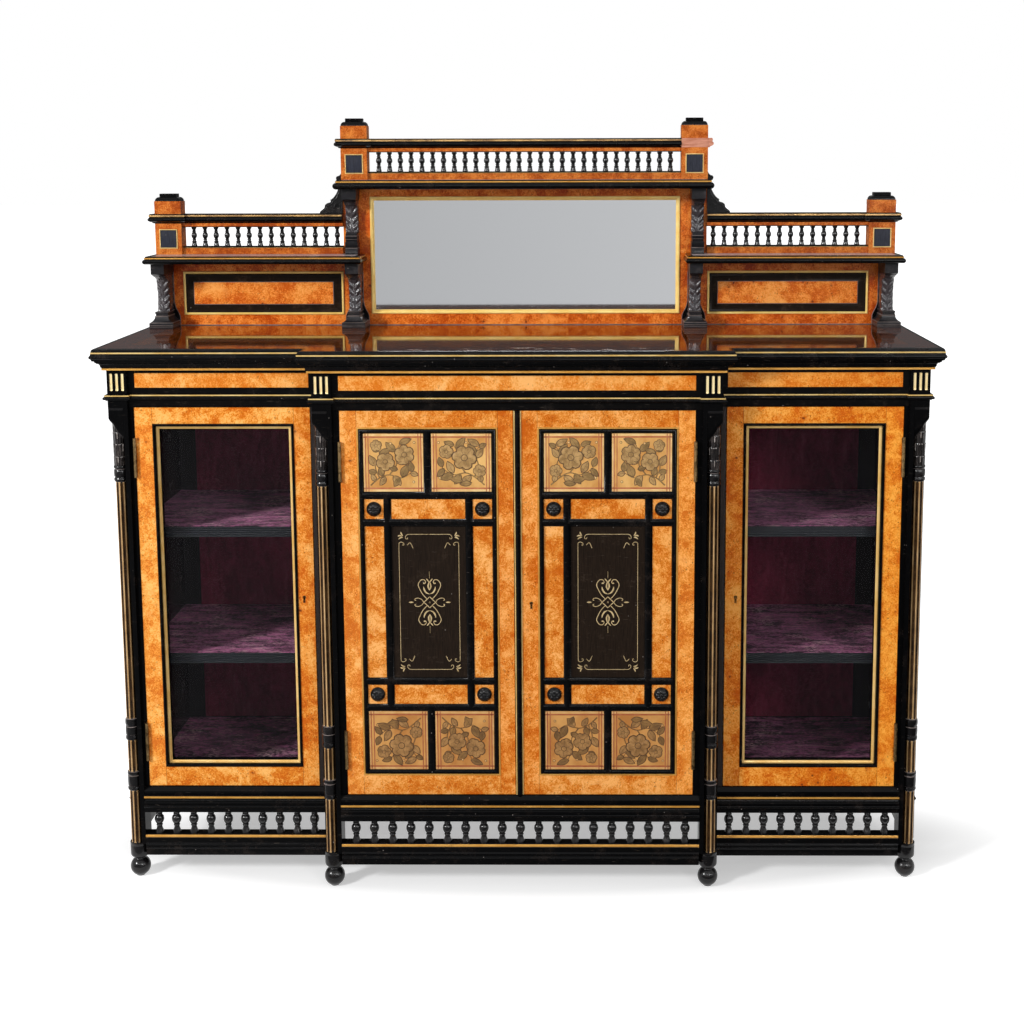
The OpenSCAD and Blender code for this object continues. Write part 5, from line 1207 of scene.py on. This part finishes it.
def collar(z, back):
    """Section of the gallery's top rail, from a cove under a fat bead up to a thin gilt edge."""
    return section([(back, 0), (3, 0), (4, 1.5), (5.5, 2.5), (8, 3.2)], arc(8, 8, 4.2, -80, 62, 7), [(8.8, 13.2)],
                   1, [(10, 14)], [(10.05, 17.5), (8.6, 20), (back, 20)], z=z)


def gallery_rails():
    """Foot rail with a gold and a black line, a veneered strip over the spindles, and the moulded top rail."""
    s = Shape()
    for x0, x1, z in ((-738.5, -392.0, SHELF1_TOP), (392.0, 738.5, SHELF1_TOP), (-335.5, 335.5, SHELF2_TOP)):
        for front, back, low, high, finish, chamfer in (
                (0, 0, 0, 13.2, 0, 0.3), (-0.2, 0, 13.2, 14.6, 2, 0.1), (-0.6, 0.6, 14.6, 17, 1, 0.4),
                (0.3, 0, 58, 59.6, 1, 0.2), (0, 0, 59.6, 67, 0, 0.3)):
            s.slab(x0, x1, RAIL_Y + front, RAIL_Y + RAIL_D + back, z + low, z + high, finish, chamfer)
        prof, fin = collar(z + RAIL_H, 2.0 - RAIL_D)
        s.sweep([(x0, RAIL_Y + 2), (x1, RAIL_Y + 2)], prof, 1 + fin, cap=1)
    s.made("gallery_rail_mouldings", [post_burl, ebony_rail, gilt_worn], "gallery_rails", slot=BURL)


def gallery_spindles():
    """Small turned baluster: foot, cone, ring, bulb, ring, neck and a cap."""
    foot = [(0.4, 0.05), (5.6, 0.05), (5.7, 2.2), (5.1, 4.0), (4.5, 7.6), (4.8, 9.2), (4.9, 10.6), (3.5, 11.8),
            (3.3, 13.0), (4.3, 14.0), (4.3, 15.0), (3.3, 16.0)]
    bulb = smooth_path([(3.5, 16.8), (5.2, 19.2), (5.9, 22.4), (5.6, 25.6), (4.5, 28.4), (3.3, 30.2)], 3)
    neck = [(4.2, 31.2), (4.2, 32.4), (3.3, 33.4), (3.5, 35.6), (4.8, 37.4), (5.3, 38.2), (5.3, 40.9), (0.4, 40.9)]
    y = RAIL_Y + RAIL_D / 2
    rows = [(sx * (716 - i * 23.846), y, SHELF1_TOP + 17) for sx in (1, -1) for i in range(14)]
    rows += [(313 - i * 23.185, y, SHELF2_TOP + 17) for i in range(28)]
    balusters = Shape().turned(points(foot, bulb, neck), rows, 14)
    balusters.made("gallery_balusters", [ebony_turned], "gallery_spindles", crease=40)


def rect_rings(cx, cy, w, d, steps):
    """Level rectangles with clipped corners, shrunk by an inset at each height."""
    corners = [(-1, -1, 0), (-1, -1, 1), (1, -1, 1), (1, -1, 0), (1, 1, 0), (1, 1, 1), (-1, 1, 1), (-1, 1, 0)]
    sx, sy, cut = np.array(corners).T
    return np.array([np.stack([cx + sx * (w / 2 - inset - clip * cut), cy + sy * (d / 2 - inset - clip * (1 - cut)),
                               np.full(8, z)], -1) for inset, z, clip in steps])


def post_mouldings():
    """Collars, caps with a cushioned edge under a flat plate, and a dark square in a gilt line on each post. The
    right-hand upper post has lost its front collar, which leaves bare wood."""
    s, deep = Shape(), BACK_Y - GALLERY_Y
    line = [(0, 0), (0, 1.0), (0.5, 1.5), (1.7, 1.5), (2.2, 1.0), (2.2, 0)]
    for sx in (1, -1):
        for x, z in ((WING_X, SHELF1_TOP), (BOARD_X, SHELF2_TOP)):
            xi, zc, zt = x - POST2_W, z + RAIL_H, z + POST2_H
            prof, fin = collar(zc, 0.0)
            if sx > 0 and x == BOARD_X:
                part = Shape().sweep([(x, GALLERY_Y), (x, BACK_Y)], prof, 3 * fin, cap=5)
                stub = [(0, zc + 3), (6, zc + 5), (8.5, zc + 9), (7, zc + 15), (0, zc + 17)]
                part.sweep([(xi, RAIL_Y + 4), (xi, GALLERY_Y + 0.2)], stub, 5)
                part.slab(xi + 0.2, x + 0.4, GALLERY_Y - 0.7, GALLERY_Y + 1, zc + 0.3, zc + 19.6, 5, 0.3)
            else:
                path = [(xi, RAIL_Y + 3), (xi, GALLERY_Y), (x, GALLERY_Y), (x, BACK_Y)]
                part = Shape().sweep(path, prof, 3 * fin, cap=0)
            cx, cy, w = x - POST2_W / 2, GALLERY_Y + deep / 2, POST2_W - 2
            part.loft(rect_rings(cx, cy, w, deep - 2, [
                (0, zt, 1.5), (0.1, zt + 1.6, 1.5), (0.5, zt + 3.4, 1.6), (1.5, zt + 5.6, 2), (3.2, zt + 7.6, 2.5),
                (5.4, zt + 8.7, 3), (7.4, zt + 9, 3)]), 0)
            plate = [(0, zt + 8.8, 0.6), (0, zt + 15.4, 0.6), (0.7, zt + 16, 0.6)]
            part.loft(rect_rings(cx, cy, w - 18, deep - 14, plate), 0)
            z0, z1 = z + 13.5, zc - 13.5
            part.frame_loop(cx - 19.5, cx + 19.5, z0 - 1, z1 + 1, GALLERY_Y, line, 4)
            part.slab(cx - 17.4, cx + 17.4, GALLERY_Y - 0.6, GALLERY_Y + 0.5, z0 + 1.1, z1 - 1.1, 2, 0.1)
            s.add(part, mirror=sx < 0)
    s.made("post_trim", [ebony_rail, gilt, slate_panel, gilt_worn, gilt_pale, bare_wood], "post_mouldings")


def backboard_frames():
    """Gilt slip round the mirror and gilt frames round the niche panels."""
    slip = [(0, -2.9), (0, 2.2), (0.8, 2.9), (2.6, 3.0), (4.4, 2.2), (6.2, 0.4), (7.6, -1.4), (8.5, -1.8), (8.5, -2.9)]
    frame_edge = [(0, 0), (0, 2.2), (0.7, 2.9), (2.8, 3.0), (4.2, 2.2), (5.0, 1.0), (5.0, 0)]
    s = Shape().frame_loop(-334, 334, 1108.5, 1361.5, BOARD_Y, slip)
    for a, b in ((394, 742), (-742, -394)):
        s.frame_loop(a, b, 1107, 1200.5, BOARD_Y, frame_edge)
    s.made("backboard_gilt", [gilt_bright], "gilt_frames", slot=GILT)


def niche_panels():
    """A hollow black border, a thin pale line that is a painted highlight on a fillet, and a raised veneered panel in
    each niche, and the bead at the foot, also coloured as a painted highlight.
    """
    s = Shape()
    hollow = [(-0.6, 0), (-0.6, 1.0), (0, 1.9), (1, 1.95), (2.6, 1.3), (5, 0.7), (9, 0.4), (13, 0.6), (16, 1.3),
              (17, 2.0), (17, 0)]
    for a, b in ((399, 737), (-737, -399)):
        s.frame_loop(a, b, 1112, 1195.5, BOARD_Y, hollow, 0)
        # painted highlight on the thin fillet round the panel
        s.frame_loop(a + 17, b - 17, 1129, 1178.5, BOARD_Y, [(0, 0), (0, 2.2), (1.0, 2.3), (1.0, 0)], 1)
        s.slab(a + 18, b - 18, BOARD_Y - 3, BOARD_Y, 1130, 1177.5, 2, 0.7)
    # the bead at the foot, in the painted highlight grey
    for a, b in ((392, 795), (-795, -392), (-392, 392)):
        s.slab(a + 0.5, b - 0.5, BOARD_Y - 0.8, BOARD_Y, TOP_Z, TOP_Z + 1.6, 1, 0.3)
    s.made("niche_panel_veneers", [ebony_niche, edge_highlight, red_burl], "niche_panels")


def console(x, z0, z1, foot_w, foot_d, foot_h, head_w, head_d):
    """Carved bracket. The shaft is a grid over width and height: its depth follows the side outline, plus a rib up the
    middle, slanting lobes beside it, and edges that fall away; the head is coved in below, the foot flares in steps."""
    s = Shape()
    zs0, zs1 = z0 + foot_h, z1 - 26
    neck, pitch = foot_d * 0.68, 15.5
    u = np.linspace(-1, 1, 25)
    off = np.abs(u)
    z = np.linspace(zs0 + 19, zs1 + 0.5, 70)
    side_z = [zs0, zs0 + 10, zs0 + 22, zs0 + (z1 - zs0) * 0.45, zs1 - 10, zs1]
    side_d = [foot_d - 6, foot_d - 14, neck, neck - 3, neck + 4, head_d - 8]
    depth = np.interp(z, side_z, side_d)[:, None]
    t = (z - z[0]) / (z[-1] - z[0])
    half = (head_w - 3) / 2 * (1 - 0.02 * np.sin(np.pi * t) + 0.015 * np.sin(2 * np.pi * z / pitch))[:, None]
    t, z = t[:, None], z[:, None]
    curl = np.exp(-((t - 0.90) / 0.07) ** 2)
    rib = np.exp(-(u / 0.13) ** 2)
    side = np.clip((off - 0.2) / 0.15, 0, 1) * np.clip((1 - off) / 0.22, 0, 1)
    slant = z / pitch - off * 0.8
    lobes = (np.clip(np.sin(2 * np.pi * slant), -0.5, 1) + 0.25 * np.cos(4 * np.pi * slant)) * side
    relief = (1.1 * rib * (0.35 + 0.65 * np.sin(np.pi * t)) - 3.0 * off ** 6 + 2.6 * curl * (1 - u ** 2)
              + 1.7 * lobes * np.clip(t / 0.1, 0, 1) * np.clip((0.97 - t) / 0.12, 0, 1))
    front = np.stack([x + half * u, BOARD_Y - depth - relief + 2.2, np.broadcast_to(z, relief.shape)], -1)
    out, deep = np.array([(1, 0.55), (1, 0.1), (1, 0), (-1, 0), (-1, 0.1), (-1, 0.55)]).T
    back = np.stack([x + half * out, BOARD_Y - (depth - 3) * deep, np.broadcast_to(z, (len(z), len(deep)))], -1)
    s.loft(np.concatenate([front, back], 1), 0)

    def level(a, d, clip, z):
        """A rectangle against the board, half its width and its depth given, with its front corners clipped."""
        right = [(a, 0), (a, d - clip), (a - clip, d)]
        return [(x - w, BOARD_Y - y, z) for w, y in right] + [(x + w, BOARD_Y - y, z) for w, y in right[::-1]]

    s.loft(np.array([level(head_w / 2 - inset, head_d - pull, 0.5, zs1 + dz) for dz, pull, inset in (
        (-1.0, 9, 2.2), (0.6, 7.5, 1.8), (2.0, 4.5, 1.0), (3.4, 1.6, 0.3), (4.6, 0.3, 0.0), (25.9, 0, 0.0))], float), 1)
    if foot_w > 40:
        steps = [(0.05, 0, 0), (3.0, 0, 0), (3.5, 0.5, 0.5), (4.0, 0, 0), (6.4, 0, 0), (6.9, 0.5, 0.5), (7.4, 0, 0),
                 (11.4, 0.2, 0.2), (12.4, 1.6, 1.2), (14.6, 5.2, 3.0), (17.6, 8.4, 4.8), (21.0, 10.4, 6.2),
                 (24.4, 11.2, 7.0), (25.2, 10.2, 6.4), (25.8, 11.0, 7.0), (26.6, 12.6, 8.4), (30.6, 12.6, 8.4),
                 (31.2, 11.4, 7.4), (34.4, 11.4, 7.4), (35.0, 12.2, 8.0)]
    else:
        mid = foot_h * 0.5
        steps = [(0.05, 0, 0), (mid, 0, 0), (mid + 0.8, 0.6, 0.6), (mid + 1.6, 0, 0), (foot_h, 0.2, 0.2),
                 (foot_h + 1.2, 1.4, 1.2), (foot_h + 6, 1.4, 1.2), (foot_h + 6.8, 0.6, 0.6), (foot_h + 13, 0.6, 0.6),
                 (foot_h + 14, 1.6, 1.4), (foot_h + 19.6, 1.6, 1.4)]
    rings = []
    for dz, inset, pull in steps:
        reach = np.interp(z0 + dz, side_z, side_d) + 14 if dz > foot_h else foot_d
        rings.append(level(foot_w / 2 - inset, min(foot_d - pull, reach), 0.6, z0 + dz))
    rise = np.diff([dz for dz, _, _ in steps])
    # painted highlight: the thin steps of the foot get the light edge finish
    return s.loft(np.array(rings, float), np.where(rise < 1.05, 2, 1)[:, None])


def consoles(foot_d=62, head_d=75):
    """Six carved consoles, each of the lower four with a thin lath where it meets the backboard, coloured as a painted
    highlight.
    """
    s, part = Shape(), Shape()
    for x, foot_w in ((777, 51), (365, 50)):
        part.add(console(x, TOP_Z, SHELF1, foot_w, foot_d, 12.5, 28, head_d))
    part.add(console(371, SHELF1_TOP, SHELF2, 27, foot_d - 32, 26, 30, head_d - 25))
    edge = [(13.4, 1222), (13.4, 1146), (14.0, 1132), (17.0, 1121), (22.6, 1110), (25, 1102), (25.4, 1084)]
    edge = smooth_path(edge, 4)
    for x in (777, 365):
        # painted highlight: the lath stands for the light line along the console's edge
        for hand in (1, -1):
            part.ribbon(edge * [hand, 1] + [x, 0], 1.1, BOARD_Y, 2.2, 2, 0.4)
        part.plate(points(edge, edge[::-1] * [-1, 1]) + [x, 0], BOARD_Y - 2, BOARD_Y, 3)
    for mirror in (False, True):
        s.add(part, mirror=mirror)
    s.made("carved_consoles", [console_carved, ebony_flat, edge_highlight, ebony], "consoles", crease=38)


def pierced(outline, hole, y_front, y_back, finish=0):
    """A flat piece cut to an outline with a round hole in it; both faces are cut into triangles."""
    edges = [np.asarray(outline, float), np.asarray(hole, float)]
    tris = np.array(tessellate_polygon([[(x, z, 0.0) for x, z in edge] for edge in edges]))
    flat = np.concatenate(edges)
    n = len(flat)
    v = np.concatenate([np.column_stack([flat[:, 0], np.full(n, y), flat[:, 1]]) for y in (y_front, y_back)])
    a, b, c = (flat[tris[:, i]] for i in range(3))
    area = (b[:, 0] - a[:, 0]) * (c[:, 1] - a[:, 1]) - (b[:, 1] - a[:, 1]) * (c[:, 0] - a[:, 0])
    tris[area < 0] = tris[area < 0][:, ::-1]
    walls, start = [], 0
    for edge, way in zip(edges, (1, -1)):
        i = start + np.arange(len(edge))
        j = np.roll(i, -1)
        x, z = edge.T
        wall = np.stack([i, i + n, j + n, j], 1)
        walls.append(wall if way * (x * np.roll(z, -1) - np.roll(x, -1) * z).sum() > 0 else wall[:, ::-1])
        start += len(edge)
    return v, [(tris, finish), (tris[:, ::-1] + n, finish), (np.concatenate(walls), finish)]


def scroll_brackets():
    """Scroll beside the centre part: a smooth outline of three curls and a knob, a moulded edge and a sunk eye."""
    place, front = np.array([BOARD_X, SHELF1_TOP + 87]), BACK_Y - 24
    edge = smooth_path([(49.8, 0.3), (48.6, 4.2), (42.4, 9.2), (39.4, 12.4), (38.4, 17.2), (33.6, 21.6), (27.4, 23.4),
                        (25.4, 26), (26.0, 29), (21.4, 32), (15.6, 38.6), (10.8, 47), (8.2, 56), (6.8, 64), (7.2, 68),
                        (11.2, 70.4), (13.0, 75), (11.2, 79), (6.4, 80.6), (2.6, 84.6), (0.1, 90.4)], 4)
    inner = smooth_path([(44, 3.4), (37.4, 9.6), (33.4, 15.6), (25.6, 19.6), (20.6, 25.2), (13.2, 33), (7.6, 43.6),
                         (4.6, 54), (3.6, 66)], 4)
    s = Shape()
    s.put(*pierced(points(edge, [(0, 90.4), (0, 0.1), (49.8, 0.1)]) + place, arc(12, 15, 4.2, 0, 345, 24) + place,
                   front, BACK_Y - 8))
    (xa, za), (xb, zb) = place + (6.5, 9.5), place + (17.5, 20.5)
    s.slab(xa, xb, BACK_Y - 19, BACK_Y - 13, za, zb, chamfer=0.05)
    s.ribbon(inner + place, 2.2, front, 0.5, 1, 0.7)
    s.ribbon(arc(12, 15, 6.6, 20, 380, 25) + place, 1.6, front, 0.4, 1, 0.5)
    full = Shape().add(s).add(s, mirror=True)
    full.made("scroll_bracket_carvings", [ebony_carved, ebony_carved], "scroll_brackets", crease=40)


for build in (gallery_shelves, gallery_rails, gallery_spindles, post_mouldings, backboard_frames, niche_panels,
              consoles, scroll_brackets):
    build()


# ---------------------------------------------------------------- finishes of the solids that stay
KEPT = dict(side_panels=ebony_panel, corner_posts=ebony, partitions=carcass_wood, floor_and_top_boards=carcass_wood,
            back_boards=back_wood, shelves_and_bearers=ebony_shelf, frieze_rails=ebony_frieze, frieze_blocks=ebony,
            frame_hinges=brass_dark, backboard=board_burl, gallery_posts=post_burl, mirror_glass=mirror)
for side in ("left_door", "right_door"):
    KEPT.update({f"{side}_frame": wing_burl, f"{side}_glass": glass, f"mid_{side}_frame": mid_burl,
                 f"mid_{side}_panel": ebony_panel})
for name, node in frame["nodes"].items():
    finish = KEPT.get(name)
    if finish is None and not node.hide_render:
        finish = brass_dark if "hinge" in name else brass if ("bolt" in name or "lock" in name) else ebony
    if finish is not None:
        for slot in node.material_slots:
            slot.material = finish


# ---------------------------------------------------------------- room, lamps and camera
AMBIENT, FLOOR_GLOW = 0.41, 0.42


def linked(name, data):
    """A new object in the scene."""
    obj = bpy.data.objects.new(name, data)
    bpy.context.scene.collection.objects.link(obj)
    return obj


def aim(obj, right, up, back, place):
    """Puts a lamp or camera in its place, by its own three axes."""
    m = np.eye(4)
    m[:3, 0], m[:3, 1], m[:3, 2], m[:3, 3] = right, up, back, place
    obj.matrix_world = Matrix(m.tolist())


def sheet(name, corners, material):
    """A single flat face that belongs to the room."""
    mesh = bpy.data.meshes.new(name)
    mesh.from_pydata(corners, [], [(0, 1, 2, 3)])
    mesh.materials.append(material)
    obj = linked(name, mesh)
    return obj


def floor(w=40.0, z=-0.0005):
    """White floor that shows the cabinet's soft shadow and glows white further out."""
    n = Finish("floor_white", Base_Color=(0.72, 0.72, 0.72, 1), Roughness=0.9, Specular_IOR_Level=0.0)
    far = n.node("VectorMath", {0: n.stretch(n.objects(), (0.78, 2.9, 1))}, operation="LENGTH")["Value"]
    glow = n.ramp(n.mul(far, 0.5), (0.31, FLOOR_GLOW), (0.48, 1.0))
    lit = n.given(Emission_Color=glow, Emission_Strength=n.seen())
    sheet("floor", [(-w, -w, z), (w, -w, z), (w, w, z), (-w, w, z)], lit)


def card(name, a, b, level, axis, stops, gain=1.0, lean=0.0):
    """A card that only reflections see, 18 m wide, from the line (y, z) = a to the line b. Its light follows a ramp
    along one axis and leans a share per metre to the right."""
    n = Finish(name, Base_Color=(0, 0, 0, 1), Specular_IOR_Level=0, Emission_Color=(level, level, level * 1.01, 1))
    band = n.ramp(n.mad(n.along(axis), 0.25, 0.5 if axis == "X" else 0.0), *stops)
    lit = n.given(Emission_Strength=n.mul(band, n.mad(n.along("X"), lean * gain, gain)))
    obj = sheet(name, [(-9, *a), (9, *a), (9, *b), (-9, *b)], lit)
    for ray in ("camera", "diffuse", "transmission", "shadow", "volume_scatter"):
        setattr(obj, "visible_" + ray, False)


def surround():
    """White to the eye and in reflections, dimmer as a light."""
    world = bpy.context.scene.world = bpy.data.worlds.new("surround")
    world.use_nodes = True
    n = Net(world.node_tree)
    n.feed(n.tree.nodes["Background"], {"Color": (1, 1, 1, 1), "Strength": n.mad(n.seen(), 1.0 - AMBIENT, AMBIENT)})


def lamp(name, place, width, height, power, target=(0, 0, 0.75)):
    data = bpy.data.lights.new(name, "AREA")
    data.shape = "RECTANGLE"
    data.size, data.size_y, data.energy = width, height, power
    away = np.array(place) - np.array(target)
    away /= np.linalg.norm(away)
    side = np.cross((0, 0, 1), away)
    side /= np.linalg.norm(side)
    aim(linked(name, data), side, np.cross(away, side), away, place)


def camera(pitch=7.646, yaw=0.453, roll=-0.138, focal=1463.7 / 1024):
    """Pitched down, turned left and rolled by these degrees; the focal length is in image widths."""
    data = bpy.data.cameras.new("camera")
    data.sensor_fit, data.sensor_width = "HORIZONTAL", 36.0
    data.lens = focal * data.sensor_width
    data.shift_x, data.shift_y = -0.0625, -0.157
    data.clip_end = 100
    (sp, sy, sr), (cp, cy, cr) = (f(np.radians((pitch, yaw, roll))) for f in (np.sin, np.cos))
    ahead, right, up = np.array([(-sy * cp, cy * cp, -sp), (cy, sy, 0.0), (-sy * sp, cy * sp, cp)])
    scene.camera = linked("camera", data)
    aim(scene.camera, right * cr + up * sr, up * cr - right * sr, -ahead, (0.1346, -2.9544, 1.450))


scene = bpy.context.scene
scene.view_settings.view_transform = "Standard"
floor()
card("front_card", (-5.2, 0), (-5.2, 4), 0.6, "Z",
     ((0.06, 0.011), (0.12, 0.0556), (0.34, 0.0556), (0.40, 0.007), (0.665, 0.007), (0.68, 1.0), (0.80, 1.0),
      (0.81, 0.007)), gain=18.0, lean=0.10)
card("back_card", (3.4, 0.35), (3.4, 2.6), 0.12, "Z", ((0.0, 1.0), (1.0, 1.0)))
card("floor_card", (-5.2, 0.002), (-0.26, 0.002), 1.0, "X", ((0.22, 0.42), (0.5, 0.16), (0.75, 0.05)))
surround()
lamp("key_lamp", (-4.0, -3.4, 2.9), 0.8, 0.9, 236.0)
lamp("fill_lamp", (2.0, -3.6, 2.2), 1.0, 1.2, 26.0)
camera()
